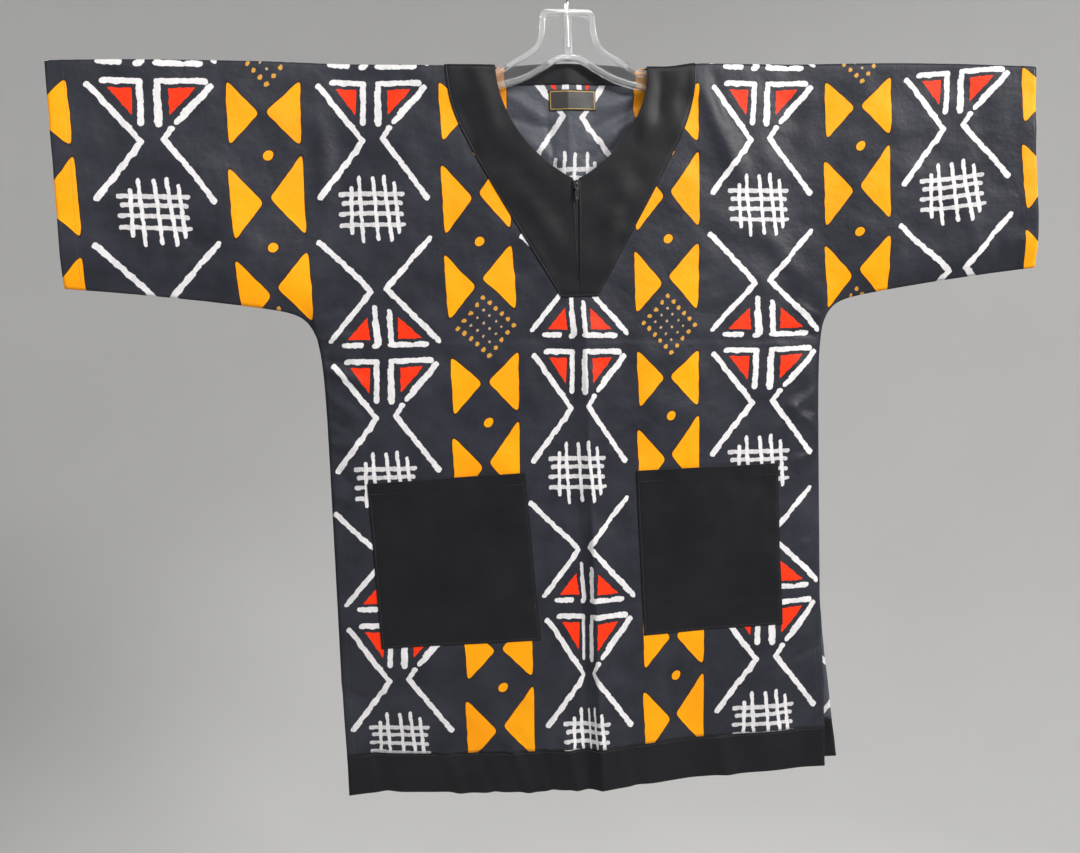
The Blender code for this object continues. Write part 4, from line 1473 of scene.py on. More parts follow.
@dataclass
class Trims:
    """Plain black pieces: hem bands, yoke, pockets, neck facing, and the label."""

    finish: Material
    label_finish: Material
    step: float = 0.0036
    facing_depth: float = 0.019
    facing_half: float = 0.076
    label_left: float = -0.0255
    label_right: float = 0.0285
    label_top: float = 0.024
    label_bottom: float = 0.046
    rim: float = 0.0022
    relief: float = 0.3 * MM
    turned: float = 0.5 * MM
    turned_rim: float = 0.0016
    pocket_hem: float = 0.015
    pocket_hem_rise: float = 0.35 * MM
    pucker: float = 0.22 * MM
    sag: float = 0.5 * MM

    def add(self, name: str, surface: Surface, side: Side, node: str, flat: tuple[float, float], rests: str,
            finish: Material | None = None, slot: str = "black_cotton") -> Object:
        """Args:
            name: the piece's name.
            surface: its grid.
            side: the side that it faces.
            node: the solid that it replaces.
            flat: its width and length as cut.
            rests: not used.
            finish: its material, if it isn't the plain one.
            slot: a record slot's name, passed on to dressed.
        Returns:
            The piece.
        """
        piece = grid_object(name, [surface], side)
        thickened(piece, CLOTH)
        dressed(piece, slot, finish or self.finish)
        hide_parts(node)
        area = min(sheet_area([surface]), flat[0] * flat[1])
        return piece

    def bands(self) -> None:
        """Hem bands of the front and the back, sewn edge to edge under the panels."""
        form = SHIRT
        top, end = form.band_top, form.length
        heights = bands((top + 0.1 * MM, top + 0.004, 0.0008), (top + 0.004, end - 0.002, 0.0036),
                        (end - 0.002, end, 0.0007))
        shares = bands((-1.0, -0.1, 0.0135), (-0.1, 0.1, 0.0055), (0.1, 1.0, 0.0135))
        share, w = np.meshgrid(shares, heights)
        seam = -self.relief * np.exp(-((w - top) / 0.0018) ** 2)
        fold = self.relief * smooth((w - top - 0.001) / 0.003)
        for side in Side:
            word = side.name.lower()
            surface = laid(side, share * form.side_x(w), w, seam + fold)
            flat = (2.0 * form.chest_half, 0.05)
            self.add("hem_band_of_" + word, surface, side, "hem_band_" + word, flat, word)

    def yoke(self) -> None:
        """Two halves of the yoke: their outer edges are turned under and rounded down to the front."""
        form = SHIRT
        rows = form.rows_down(6, (form.fold_radius, 0.112, self.step), (0.112, form.neck_depth, 0.0012),
                              (form.neck_depth, 0.2555, self.step), (0.2555, form.yoke_length, 0.0007))
        shares = bands((0.0, 0.05, 0.0065), (0.05, 0.95, 0.03), (0.95, 1.0, 0.0065))
        share, w = np.meshgrid(shares, rows)
        inner, outer = np.maximum(form.front_inner_x(w), 0.1 * MM), form.yoke_x(w)
        u = inner + (outer - inner) * share
        edge = np.minimum(outer - u, form.yoke_length - w)
        lip = 0.1 * MM * (1.0 - smooth((u - inner) / self.rim))
        for hand, word in ((-1, "left"), (1, "right")):
            surface = laid(Side.FRONT, hand * u, w, self.turned_edge(edge) - lip)
            flat = (form.yoke_half, form.yoke_length)
            self.add("yoke_half_" + word, surface, Side.FRONT, "yoke_" + word, flat, "front")

    def turned_edge(self, edge: Array) -> Array:
        """Height of a trim over the cloth: rounded at its turned edge, with the groove of its stitches.

        Args:
            edge: distance from the edge.
        Returns:
            The height: a smooth step up from the edge, less a bell where the stitches run.
        """
        groove = self.relief * np.exp(-((edge - 0.0024) / 0.0008) ** 2)
        return SEAT + self.turned * smooth(edge / self.turned_rim) - groove

    def pockets(self) -> None:
        """Patch pockets: turned edges, a puckered hem along the mouth, and a mouth that stands open."""
        shares = bands((0.0, 0.018, 0.0036), (0.018, 0.982, 0.022), (0.982, 1.0, 0.0036))
        for patch in POCKETS:
            length = patch.bottom - patch.top
            rows = bands((0.0, 0.003, 0.0006), (0.003, 0.02, 0.0017), (0.02, length - 0.003, self.step),
                         (length - 0.003, length, 0.0006))
            share, below = np.meshgrid(shares, rows)
            u, w = patch.place(share, below / length)
            sides = np.minimum(share, 1.0 - share) * (patch.right_top - patch.left_top)
            edge = np.minimum(sides, length - below)
            waves = np.sin(share * 190.0 + 3.0 * np.sin(share * 31.0))
            pucker = self.pucker * waves * np.exp(-((below - 0.013) / 0.006) ** 2)
            hem = self.pocket_hem_rise * (1.0 - smooth((below - self.pocket_hem) / 0.0015)) + pucker
            sag = self.sag * smooth(edge / 0.05) * np.sin(math.pi * share) ** 2
            surface = laid(Side.FRONT, u, w, self.turned_edge(edge) + patch.mouth(share, below) + hem + sag)
            flat = (patch.right_bottom - patch.left_bottom + 0.001, length)
            self.add("pocket_patch_" + patch.name, surface, Side.FRONT, "pocket_" + patch.name, flat, "front")

    def facing(self) -> None:
        """Facing strip inside the back neck."""
        columns = np.linspace(-self.facing_half, self.facing_half, 60)
        rows = bands((0.0, 0.004, 0.0008), (0.004, self.facing_depth - 0.002, 0.0022),
                     (self.facing_depth - 0.002, self.facing_depth, 0.0005))
        u, w = np.meshgrid(columns, rows)
        edge = np.minimum(self.facing_depth - w, self.facing_half - np.abs(u))
        surface = laid(Side.BACK, u, w, -(SEAT + 0.25 * MM * smooth(edge / self.rim)))
        self.add("facing", surface, Side.BACK, "neck_facing", (0.154, 0.0205), "back")

    def label(self) -> None:
        """Bare label below the facing, which puffs a little between its stitches."""
        columns = np.linspace(self.label_left, self.label_right, 40)
        u, w = np.meshgrid(columns, np.linspace(self.label_top, self.label_bottom, 16))
        width, height = self.label_right - self.label_left, self.label_bottom - self.label_top
        across = (u - self.label_left) / width
        puff = 0.35 * MM * np.sin(math.pi * across) + 0.4 * MM * np.sin(5.0 * across + 60.0 * (w - 0.02)) ** 2
        middle = 0.5 * np.array([self.label_left + self.label_right, self.label_top + self.label_bottom])
        points = SHIRT.moved(Side.BACK, u, w, -(SEAT + puff))
        surface = Surface(points, np.stack([u, w], axis=-1) - middle)
        flat = (width + 0.0008, height + 0.0006)
        self.add("label", surface, Side.BACK, "neck_label", flat, "back", self.label_finish, "woven_label")

    def build(self) -> None:
        """Make every trim."""
        self.bands()
        self.yoke()
        self.pockets()
        self.facing()
        self.label()


class Seam(NamedTuple):
    """A run of stitches on the cloth: its route, how far out it lies, and its pitch."""

    side: Side
    u: Array
    w: Array
    out: float
    pitch: float = 0.0028


@dataclass
class Stitching:
    """All visible stitches, joined into one mesh."""

    finish: Material
    half_length: float = 0.00115
    half_width: float = 0.00024
    height: float = 0.00022
    inset: float = 0.0024
    neck_inset: float = 0.0026
    vent_inset: float = 0.0085
    cuff_inset: float = 0.0155
    pocket_hem: float = 0.013
    seams: list[Seam] = field(default_factory=list)

    def run(self, side: Side, u: Array | list[float], w: Array | list[float], out: float) -> None:
        """Add a seam through points of the cloth."""
        self.seams.append(Seam(side, np.asarray(u, float), np.asarray(w, float), out))

    def plan(self) -> None:
        """Lay out every seam."""
        form, on_cloth = SHIRT, 0.5 * CLOTH
        on_trim = SEAT + 0.26 * MM + on_cloth
        yoke = np.linspace(0.003, form.yoke_length - 0.0025, 120)
        neck = np.linspace(0.003, form.neck_depth - 0.006, 90)
        vent = np.linspace(form.vent_top, form.band_top - 0.002, 60)
        cuff = np.full(80, form.span_half - self.cuff_inset)
        down = np.linspace(0.004, float(form.underside_w(cuff[:1])[0]) - 0.004, 80)
        edge = form.side_x(vent) - self.vent_inset
        tack = np.linspace(edge[0], form.chest_half - 0.001, 12)
        for hand in (-1, 1):
            self.run(Side.FRONT, hand * (form.yoke_x(yoke) - self.inset), yoke, on_trim)
            self.run(Side.FRONT, hand * (form.neck_x(neck) + self.neck_inset), neck, on_trim)
            for side in Side:
                self.run(side, hand * cuff, down, on_cloth + 0.1 * MM)
                self.run(side, hand * edge, vent, on_cloth)
                self.run(side, hand * tack, np.full(12, form.vent_top), on_cloth)
        tip = form.yoke_tip - 0.0005
        self.run(Side.FRONT, np.linspace(-tip, tip, 20), np.full(20, form.yoke_length - self.inset), on_trim)
        across = np.linspace(-form.chest_half + 0.002, form.chest_half - 0.002, 240)
        for side in Side:
            self.run(side, across, np.full(240, form.band_top + self.inset), on_cloth + 0.25 * MM)
        for patch in POCKETS:
            self.pocket(patch, on_trim)
        self.run(Side.BACK, np.linspace(-0.074, 0.074, 60), np.full(60, 0.0172), 0.1 * MM - on_trim)
        on_label = SEAT + on_cloth + 0.4 * MM
        self.run(Side.BACK, np.linspace(-0.0245, 0.0275, 24), np.full(24, 0.0248), -on_label)

    def pocket(self, patch: PocketPatch, out: float) -> None:
        """Stitches round a pocket's sides and bottom, and along the hem of its mouth.

        Args:
            patch: the pocket.
            out: how far out its stitches lie.
        """
        inset_u = self.inset / (patch.right_top - patch.left_top)
        inset_w = self.inset / (patch.bottom - patch.top)
        down = np.linspace(0.004, 1.0 - inset_w, 80)
        across = np.linspace(inset_u, 1.0 - inset_u, 90)
        for share in (inset_u, 1.0 - inset_u):
            self.run(Side.FRONT, *patch.place(np.full(80, share), down), out)
        self.run(Side.FRONT, *patch.place(across, np.full(90, 1.0 - inset_w)), out)
        lift = float(np.mean(patch.mouth(across, np.full(90, self.pocket_hem)))) + 0.3 * MM
        hem = self.pocket_hem / (patch.bottom - patch.top)
        self.run(Side.FRONT, *patch.place(across, np.full(90, hem)), out + lift)

    def stitches(self, seam: Seam) -> tuple[Array, Array]:
        """Points and faces of one seam's stitches.

        Each stitch is two rings of five points between two ends, carried to its place by the seam's
        direction, the cloth's normal and the line across both.

        Args:
            seam: the run of stitches.
        Returns:
            The points, and the corners of the faces, with a triangle's last corner given twice.
        """
        form = SHIRT
        route = form.moved(seam.side, seam.u, seam.w, seam.out)
        steps = np.linalg.norm(np.diff(route, axis=0), axis=1)
        run = np.concatenate([[0.0], np.cumsum(steps)])
        count = max(1, int(run[-1] / seam.pitch))
        middle = (np.arange(count) + 0.5) * run[-1] / count
        u, w = np.interp(middle, run, seam.u), np.interp(middle, run, seam.w)
        ahead = np.stack([np.interp(middle + 0.0005, run, route[:, k]) for k in range(3)], axis=-1)
        behind = np.stack([np.interp(middle - 0.0005, run, route[:, k]) for k in range(3)], axis=-1)
        along = ahead - behind
        along /= np.linalg.norm(along, axis=1, keepdims=True)
        normal = form.normal(seam.side, u, w) * (1.0 if seam.out > 0.0 else -1.0)
        across = np.cross(normal, along)
        centre = form.moved(seam.side, u, w, seam.out)
        turns = np.linspace(0.0, math.tau, 5, endpoint=False)
        ring_y, ring_z = np.cos(turns) * self.half_width, np.sin(turns) * self.height
        x = np.concatenate([[-self.half_length], np.full(5, -0.45 * self.half_length),
                            np.full(5, 0.45 * self.half_length), [self.half_length]])
        y = np.concatenate([[0.0], ring_y, ring_y, [0.0]])
        z = np.concatenate([[-self.height], ring_z, ring_z, [-self.height]])
        points = (centre[:, None] + x[None, :, None] * along[:, None] + y[None, :, None] * across[:, None]
                  + z[None, :, None] * normal[:, None])
        k = np.arange(5)
        n = (k + 1) % 5
        faces = np.concatenate([
            np.stack([np.zeros(5, int), 1 + n, 1 + k, 1 + k], axis=-1),
            np.stack([1 + k, 1 + n, 6 + n, 6 + k], axis=-1),
            np.stack([np.full(5, 11), 6 + k, 6 + n, 6 + n], axis=-1)])
        index = faces[None] + 12 * np.arange(count)[:, None, None]
        return points.reshape(-1, 3), index.reshape(-1, 4)

    def build(self) -> Object:
        """Make the mesh of all stitches.

        Returns:
            The piece.
        """
        self.plan()
        vertices, faces, first = [], [], 0
        for seam in self.seams:
            points, index = self.stitches(seam)
            vertices.append(points)
            faces.append(index + first)
            first += len(points)
        quads = np.concatenate(faces)
        lists = [row[:3] if row[2] == row[3] else row for row in quads.tolist()]
        mesh = new_mesh("stitches", np.concatenate(vertices), lists)
        cleaned(mesh, outward=True)
        return dressed(new_object(mesh), "black_cotton", self.finish)


@dataclass
class Zip:
    """Closed zip: tape, teeth, the folded lips of the yoke over them, slider and pull."""

    tape: Material
    metal: Material
    cloth: Material
    top: float = 0.1275
    bottom: float = 0.246
    half: float = 0.011
    tooth_pitch: float = 0.0015
    tooth_half: Triple = (0.95 * MM, 0.3 * MM, 0.48 * MM)
    tooth_shift: float = 0.18 * MM
    lip_end: float = 0.24
    lip_wall: float = 0.35 * MM

    def strip(self) -> None:
        """Woven tape behind the slit."""
        u, w = np.meshgrid(np.linspace(-self.half, self.half, 16), np.linspace(self.top, self.bottom, 50))
        piece = grid_object("tape", [laid(Side.FRONT, u, w, -(SEAT + 0.1 * MM))], Side.FRONT)
        thickened(piece, CLOTH)
        dressed(piece, "zip_tape", self.tape)
        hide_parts("zip_tape")
        flat = (2.0 * self.half, self.bottom - self.top)
        round(flat[0] * flat[1], 6)

    def teeth(self) -> None:
        """Row of small blocks, turned a little to each hand in turn."""
        w = np.arange(self.top + 0.001, SHIRT.slit_end - 0.001, self.tooth_pitch)
        centre = SHIRT.moved(Side.FRONT, np.zeros_like(w), w, 0.15 * MM)
        corner = np.array([(x, y, z) for x in (-1.0, 1.0) for y in (-1.0, 1.0) for z in (-1.0, 1.0)])
        half = corner * np.array(self.tooth_half)
        half = np.where(corner[:, 1:2] < 0.0, half, half * np.array([0.8, 1.0, 0.8]))
        shift = self.tooth_shift * np.where(np.arange(len(w)) % 2 == 0, 1.0, -1.0)
        points = centre[:, None] + half[None]
        points[..., 0] += shift[:, None]
        box = np.array([(0, 1, 3, 2), (4, 6, 7, 5), (0, 4, 5, 1), (2, 3, 7, 6), (0, 2, 6, 4), (1, 5, 7, 3)])
        faces = (box[None] + 8 * np.arange(len(w))[:, None, None]).reshape(-1, 4)
        piece = new_object(new_mesh("teeth", points, faces.tolist()))
        rounding = piece.modifiers.new("Worn edges", "BEVEL")
        rounding.width = 0.12 * MM
        rounding.segments = 1
        dressed(piece, "zip_tape", self.tape)

    def lips(self) -> None:
        """Folded lips: half rounds of cloth along both sides of the slit, closing over the teeth."""
        turns = np.linspace(-0.5 * math.pi, 0.5 * math.pi, 13)
        turn, w = np.meshgrid(turns, np.linspace(self.top, self.lip_end, 70))
        run = (w - self.top) / (self.lip_end - self.top)
        width = (1.25 - 0.55 * run ** 4) * MM
        surfaces = []
        for hand in (-1, 1):
            middle = SHIRT.slit_x(w) + 0.7 * width + 0.15 * MM * np.sin(38.0 * run + hand)
            u = hand * (middle + width * np.sin(turn))
            lift = SEAT + 0.3 * MM + (0.7 * MM) * np.cos(turn)
            surfaces.append(laid(Side.FRONT, u, w, lift))
        piece = grid_object("zip_lips", surfaces, Side.FRONT)
        thickened(piece, self.lip_wall)
        dressed(piece, "black_cotton", self.cloth)
        flat = (0.01, 0.113)
        area = min(sheet_area(surfaces), flat[0] * flat[1])

    def build(self) -> None:
        """Make the zip, and dress its slider and pull."""
        self.strip()
        self.teeth()
        self.lips()
        for node in ("zip_slider", "zip_pull"):
            dress_node(node, self.metal)


def dress_node(node: str, finish: Material) -> None:
    """Give a carried-over solid its finish.

    Args:
        node: the solid's name.
        finish: its material.
    """
    piece = bpy.data.objects[node]
    piece.data.materials.clear()
    piece.data.materials.append(finish)
    LOG.info("%s: kept", node)


def mirrored(points: Array) -> Array:
    """Points in X and Z on the other side of the middle."""
    return points * np.array([-1.0, 1.0])


def cubic(t: Array, start: Array, leave: Array, end: Array, arrive: Array) -> Array:
    """Cubic curve between two points with a slope at each.

    Args:
        t: how far along each new point lies, from 0 to 1.
        start: the first point.
        leave: the slope there.
        end: the last point.
        arrive: the slope there.
    Returns:
        The new points.
    """
    return ((1 + 2 * t) * (1 - t) ** 2 * start + t * (1 - t) ** 2 * leave
            + t * t * (3 - 2 * t) * end - t * t * (1 - t) * arrive)


@dataclass
class Hanger:
    """Moulded hanger with a rim all round, and its wire hook.

    Its edge is a list of distances from the middle and heights over the shoulder line, in millimetres.
    """

    plastic: Material
    web_plastic: Material
    wire: Material
    edge: tuple[Pair, ...] = (
        (21.5, 63), (25.8, 62.3), (28.9, 60.1), (30.5, 56), (31.7, 46), (33.5, 34), (36.5, 26), (42, 19.5),
        (50, 14.2), (60, 8.8), (69, 3.6), (74, 0.2), (78, -1.8), (105, -2), (140, -8.5), (180, -17),
        (202, -23.5), (212, -29), (216, -37), (212, -46), (202, -49.5), (160, -40), (120, -31.5),
        (85, -24.5), (60, -18), (48, -13.6), (38, -8.5), (30, -4), (22.5, 0.4), (16, 4.2), (8, 7.4),
    )
    window_corner: tuple[Pair, ...] = ((6.2, 0.3), (2.8, 1.4), (0.8, 3.6), (0.0, 6.8))
    window_top: float = 0.0085
    step: float = 0.0022
    depth: float = 0.009
    web: float = 0.003
    rim: float = 0.0058
    boss: float = 0.004
    rounding: float = 0.0011
    hook_inner: float = 0.019
    wire_radius: float = 0.0019
    foot_z: float = -0.096
    stem_z: float = -0.05
    hook_start: float = -50.0
    hook_end: float = 205.0

    def stations(self) -> Array:
        """Right half of the edge in X and Z, in metres."""
        return np.array(self.edge) * MM + np.array([0.0, SHIRT.shoulder_z])

    def inset(self, outline: Array, distance: float) -> Array:
        """Points moved inwards, square to the line through their neighbours.

        Args:
            outline: rows of X and Z.
            distance: how far they are moved.
        Returns:
            The moved points.
        """
        along = np.roll(outline, -1, axis=0) - np.roll(outline, 1, axis=0)
        along /= np.linalg.norm(along, axis=1, keepdims=True)
        return outline + distance * np.stack([along[:, 1], -along[:, 0]], axis=1)

    def plate(self, name: str, loops: list[Array], half: float, bevel: float) -> Object:
        """Flat plate with rounded edges.

        Args:
            name: the piece's name.
            loops: closed loops in X and Z: the outline, then its openings.
            half: half of the plate's depth.
            bevel: radius of its rounded edges.
        Returns:
            The plate, as a mesh.
        """
        curve = bpy.data.curves.new(name, "CURVE")
        curve.dimensions = "2D"
        curve.fill_mode = "BOTH"
        curve.extrude = half - bevel
        curve.bevel_depth = bevel
        curve.bevel_resolution = 3
        curve.offset = -bevel
        for loop in loops:
            spline = curve.splines.new("POLY")
            spline.points.add(len(loop) - 1)
            flat = np.column_stack([loop, np.zeros(len(loop)), np.ones(len(loop))])
            spline.points.foreach_set("co", flat.ravel())
            spline.use_cyclic_u = True
        shape = bpy.data.objects.new(name, curve)
        bpy.context.scene.collection.objects.link(shape)
        mesh = bpy.data.meshes.new_from_object(shape.evaluated_get(bpy.context.evaluated_depsgraph_get()))
        bpy.data.objects.remove(shape)
        mesh.transform(Matrix.Rotation(0.5 * math.pi, 4, "X"))
        mesh.name = name
        cleaned(mesh, 0.01 * MM, outward=True)
        return new_object(mesh)

    def window(self, stations: Array) -> Array:
        """Right half's opening between the boss and the rim, with a rounded top corner.

        Args:
            stations: the right half of the edge.
        Returns:
            A closed loop in X and Z.
        """
        corner = np.array([stations[4][0], stations[0][1]])
        foot = (self.boss, stations[-1][1])
        inner = self.inset(np.concatenate([[corner], stations[4:], [foot]]), self.rim)
        inner[-1] = (foot[0], foot[1] + self.rim)
        rounded = corner - self.rim - np.array(self.window_corner) * MM
        loop = resampled(np.concatenate([rounded, inner[1:]]), self.step)
        side, top = corner - self.rim
        return np.concatenate([[(self.boss, top), (side - self.window_top, top)], loop])

    def body(self) -> None:
        """Rim, boss and web joined into one clear moulding."""
        stations = self.stations()
        right, window = resampled(stations, self.step), self.window(stations)
        whole = np.concatenate([right, mirrored(right[::-1])])
        frame = self.plate("hanger", [whole, window, mirrored(window)], 0.5 * self.depth, self.rounding)
        top, foot = stations[0][1], stations[-1][1]
        loop = self.inset(np.concatenate([[(0.0, top)], right]), 0.5 * self.rim)
        loop[0], loop[-1] = (0.0, top - 0.5 * self.rim), (0.0, foot + 0.5 * self.rim)
        loop = np.concatenate([loop, mirrored(loop[1:-1][::-1])])
        web = self.plate("web", [loop], 0.5 * self.web, 0.3 * MM)
        join = frame.modifiers.new("Web", "BOOLEAN")
        join.operation = "UNION"
        join.object = web
        mesh = bpy.data.meshes.new_from_object(frame.evaluated_get(bpy.context.evaluated_depsgraph_get()))
        frame.modifiers.clear()
        frame.data = mesh
        bpy.data.objects.remove(web)
        mesh.shade_smooth()
        mesh.set_sharp_from_angle(angle=math.radians(40.0))
        dressed(frame, "clear_plastic", self.plastic, self.web_plastic)
        centres, normals = np.empty((2, 3 * len(mesh.polygons)), dtype=np.float32)
        mesh.polygons.foreach_get("center", centres)
        mesh.polygons.foreach_get("normal", normals)
        flat_web = (np.abs(centres[1::3]) < 0.5 * self.web + 0.1 * MM) & (np.abs(normals[1::3]) > 0.9)
        mesh.polygons.foreach_set("material_index", flat_web.astype(np.int32))
        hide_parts("hanger_body")

    def hook(self) -> None:
        """Wire hook: an upright stem that leans right and turns over in a ring, as a tube round its path."""
        ring = self.hook_inner + self.wire_radius
        start = math.radians(self.hook_start)
        join = np.array([ring * math.cos(start), -self.hook_inner + ring * math.sin(start)])
        heading = np.array([-math.sin(start), math.cos(start)])
        foot = np.array([0.0, self.stem_z])
        reach = np.linalg.norm(join - foot)
        t = np.linspace(0.0, 1.0, 30)[:, None]
        lean = cubic(t, foot, reach * np.array([0.0, 1.0]), join, reach * heading)
        angles = np.radians(np.linspace(self.hook_start, self.hook_end, 110))[1:]
        turn = np.stack([ring * np.cos(angles), -self.hook_inner + ring * np.sin(angles)], axis=-1)
        stem = np.stack([np.zeros(24), np.linspace(self.foot_z, self.stem_z, 24)], axis=-1)[:-1]
        path = np.concatenate([stem, lean, turn])
        path = np.stack([path[:, 0], np.zeros(len(path)), path[:, 1]], axis=-1)
        piece = tube("hook", path, self.wire_radius, 14)
        dressed(piece, "plated_wire", self.wire)
        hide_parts("hanger_hook")

    def build(self) -> None:
        """Make the hanger and its hook."""
        self.body()
        self.hook()


def resampled(points: Array, step: float) -> Array:
    """Smooth curve through points, at even steps: a cubic between each two, by running length.

    Args:
        points: rows of coordinates.
        step: wanted distance between the new points.
    Returns:
        The new points, with both ends kept.
    """
    run = np.concatenate([[0.0], np.cumsum(np.linalg.norm(np.diff(points, axis=0), axis=1))])
    slope = np.gradient(points, run, axis=0)
    at = np.linspace(0.0, run[-1], max(2, round(run[-1] / step) + 1))
    k = np.clip(np.searchsorted(run, at, side="right") - 1, 0, len(points) - 2)
    gap = (run[k + 1] - run[k])[:, None]
    t = ((at - run[k])[:, None]) / gap
    return cubic(t, points[k], gap * slope[k], points[k + 1], gap * slope[k + 1])


def tube(name: str, path: Array, radius: float, sides: int) -> Object:
    """Round tube along a path in the X-Z plane, closed by rounded ends.

    Each ring lies square to the path, and the last rings shrink as a quarter circle.

    Args:
        name: the piece's name.
        path: rows of X, Y and Z.
        radius: the tube's radius.
        sides: number of points in a ring.
    Returns:
        The tube.
    """
    along = np.gradient(path, axis=0)
    along /= np.linalg.norm(along, axis=1, keepdims=True)
    caps = np.array([0.0, 0.35, 0.65, 0.87, 0.97])
    size = np.sqrt(1.0 - (1.0 - caps) ** 2)
    centre = np.concatenate([path[0] - along[0] * radius * (1.0 - caps)[:, None], path[1:-1],
                             (path[-1] + along[-1] * radius * (1.0 - caps)[:, None])[::-1]])
    scale = np.concatenate([size, np.ones(len(path) - 2), size[::-1]]) * radius
    direction = np.concatenate([np.repeat(along[:1], len(caps), axis=0), along[1:-1],
                                np.repeat(along[-1:], len(caps), axis=0)])
    side = np.stack([direction[:, 2], np.zeros(len(direction)), -direction[:, 0]], axis=-1)
    turn = np.linspace(0.0, math.tau, sides, endpoint=False)
    ring = np.cos(turn)[:, None] * side[:, None] + np.sin(turn)[:, None] * np.array([0.0, 1.0, 0.0])
    points = centre[:, None] + scale[:, None, None] * ring
    rows = len(points)
    index = np.arange(rows * sides).reshape(rows, sides)
    beside = np.roll(index, -1, axis=1)
    quads = np.stack([index[:-1], beside[:-1], beside[1:], index[1:]], axis=-1).reshape(-1, 4)
    mesh = new_mesh(name, points, quads.tolist())
    cleaned(mesh, 0.001 * MM, outward=True)
    return new_object(mesh)


class Lamp(NamedTuple):
    """Soft square light: its place, its side, its power, its tint and the angle that it opens to."""

    name: str
    place: Triple
    size: float
    power: float
    tint: Triple
    spread: float = 180.0


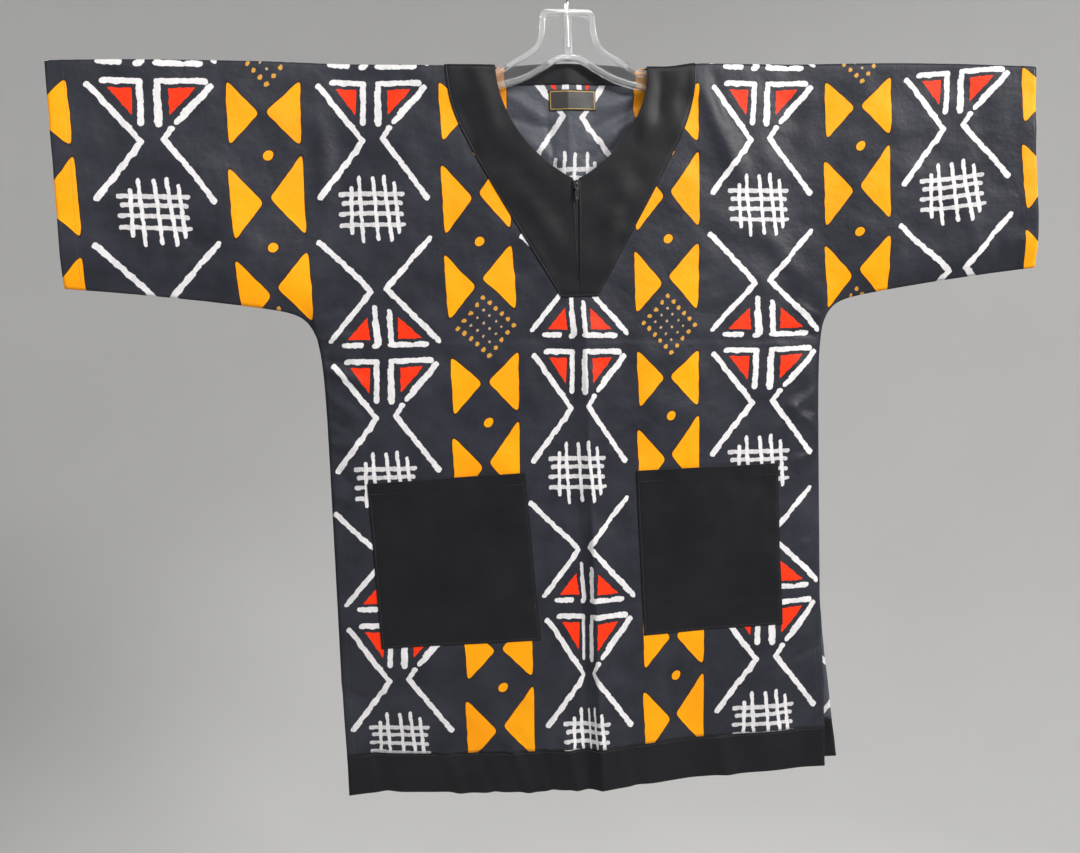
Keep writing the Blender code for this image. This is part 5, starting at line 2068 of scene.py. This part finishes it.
@dataclass
class Studio:
    """Pale round room, soft lights and the camera at the photograph's place."""

    floor_z: float = -1.7
    room_radius: float = 3.9
    room_y: float = -1.3
    cove: float = 1.3
    camera_place: Triple = (-0.1801, -0.9963, -0.4446)
    yaw: float = 0.13312
    pitch: float = -0.0797
    roll: float = 0.03418
    focal_px: float = 865.16
    image_width: float = 1080.0
    sensor: float = 36.0
    aim: Triple = (0.0, 0.0, -0.5)
    sky: Quad = (0.95, 0.97, 1.0, 1.0)
    sky_power: float = 0.16
    lamps: tuple[Lamp, ...] = (
        Lamp("key", (1.85, -1.75, 0.85), 0.7, 78.0, (1.0, 0.98, 0.95)),
        Lamp("overhead", (0.5, -1.75, 1.35), 0.8, 26.0, (1.0, 0.99, 0.97)),
        Lamp("fill", (-1.9, -2.2, 0.3), 1.4, 13.0, (0.92, 0.96, 1.0)),
        Lamp("behind", (-1.9, 1.6, 0.8), 0.9, 40.0, (1.0, 0.99, 0.97), 125.0),
        Lamp("behind_fill", (2.1, 2.0, 0.0), 1.6, 8.0, (0.95, 0.97, 1.0), 140.0),
    )

    def room(self) -> None:
        """Floor that rises into a round wall: a profile turned about the upright."""
        arc = np.linspace(0.0, 0.5 * math.pi, 16)
        curve = self.room_radius - self.cove + self.cove * np.sin(arc)
        radius = np.concatenate([[0.0, 1.0], curve, [self.room_radius]])
        height = np.concatenate([[0.0, 0.0], self.cove - self.cove * np.cos(arc), [4.4]]) + self.floor_z
        turn = np.linspace(0.0, math.tau, 97)
        points = np.stack([radius[:, None] * np.cos(turn), radius[:, None] * np.sin(turn) + self.room_y,
                           np.repeat(height[:, None], len(turn), axis=1)], axis=-1)
        index = np.arange(points.shape[0] * points.shape[1]).reshape(points.shape[:2])
        quads = np.stack([index[:-1, :-1], index[1:, :-1], index[1:, 1:], index[:-1, 1:]], axis=-1)
        mesh = new_mesh("floor", points, quads.reshape(-1, 4).tolist())
        cleaned(mesh, MM)
        floor = new_object(mesh)
        net = Net("pale_floor")
        cloud = net.noise(net.here(), 3.0, 2.0, 0.5)
        net.set(Base_Color=net.blend(cloud, (0.52, 0.52, 0.52), (0.55, 0.55, 0.547)), Roughness=0.9)
        floor.data.materials.append(net.material)

    def lights(self) -> None:
        """Key from the upper right, fill from the left and lights behind, aimed at the shirt's middle."""
        for lamp in self.lamps:
            data = bpy.data.lights.new(lamp.name, "AREA")
            data.shape = "SQUARE"
            data.size = lamp.size
            data.energy = lamp.power
            data.color = lamp.tint
            data.spread = math.radians(lamp.spread)
            light = bpy.data.objects.new(lamp.name, data)
            light.location = lamp.place
            light.rotation_euler = (Vector(self.aim) - Vector(lamp.place)).to_track_quat("-Z", "Y").to_euler()
            bpy.context.scene.collection.objects.link(light)
        world = bpy.data.worlds.new("studio")
        world.use_nodes = True
        sky = world.node_tree.nodes["Background"]
        sky.inputs[0].default_value = self.sky
        sky.inputs[1].default_value = self.sky_power
        bpy.context.scene.world = world
        bpy.context.scene.view_settings.view_transform = "Standard"

    def camera(self) -> None:
        """Camera turned by yaw, pitch and roll, with the lens worked out from its focal length."""
        yaw, pitch = self.yaw, self.pitch
        ahead = math.cos(pitch)
        forward = Vector((math.sin(yaw) * ahead, math.cos(yaw) * ahead, math.sin(pitch)))
        level = Vector((math.cos(yaw), -math.sin(yaw), 0.0))
        right = math.cos(self.roll) * level + math.sin(self.roll) * forward.cross(level)
        below = forward.cross(right)
        data = bpy.data.cameras.new("camera")
        data.sensor_width = self.sensor
        data.lens = self.sensor * self.focal_px / self.image_width
        camera = bpy.data.objects.new("camera", data)
        turned = Matrix((right, -below, -forward)).transposed().to_4x4()
        camera.matrix_world = Matrix.Translation(self.camera_place) @ turned
        bpy.context.scene.collection.objects.link(camera)
        bpy.context.scene.camera = camera

    def build(self) -> None:
        """Make the room, the lights and the camera."""
        self.camera()
        self.room()
        self.lights()


def main() -> None:
    """Build the shirt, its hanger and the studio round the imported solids."""
    logging.basicConfig(level=logging.INFO, format="%(name)s %(message)s")
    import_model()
    Studio().build()
    plain = PlainCotton().build()
    PrintedPanels(PrintedCotton().build(), PrintedCotton("printed_cotton_reverse", True, 3.2).build()).build()
    Trims(plain, WovenLabel().build()).build()
    Zip(ZipTape().build(), ZipMetal().build(), plain).build()
    Stitching(Thread().build()).build()
    web = ClearPlastic("clear_plastic_web", 0.95).build()
    Hanger(ClearPlastic().build(), web, PlatedWire().build()).build()


if __name__ == "__main__":
    main()
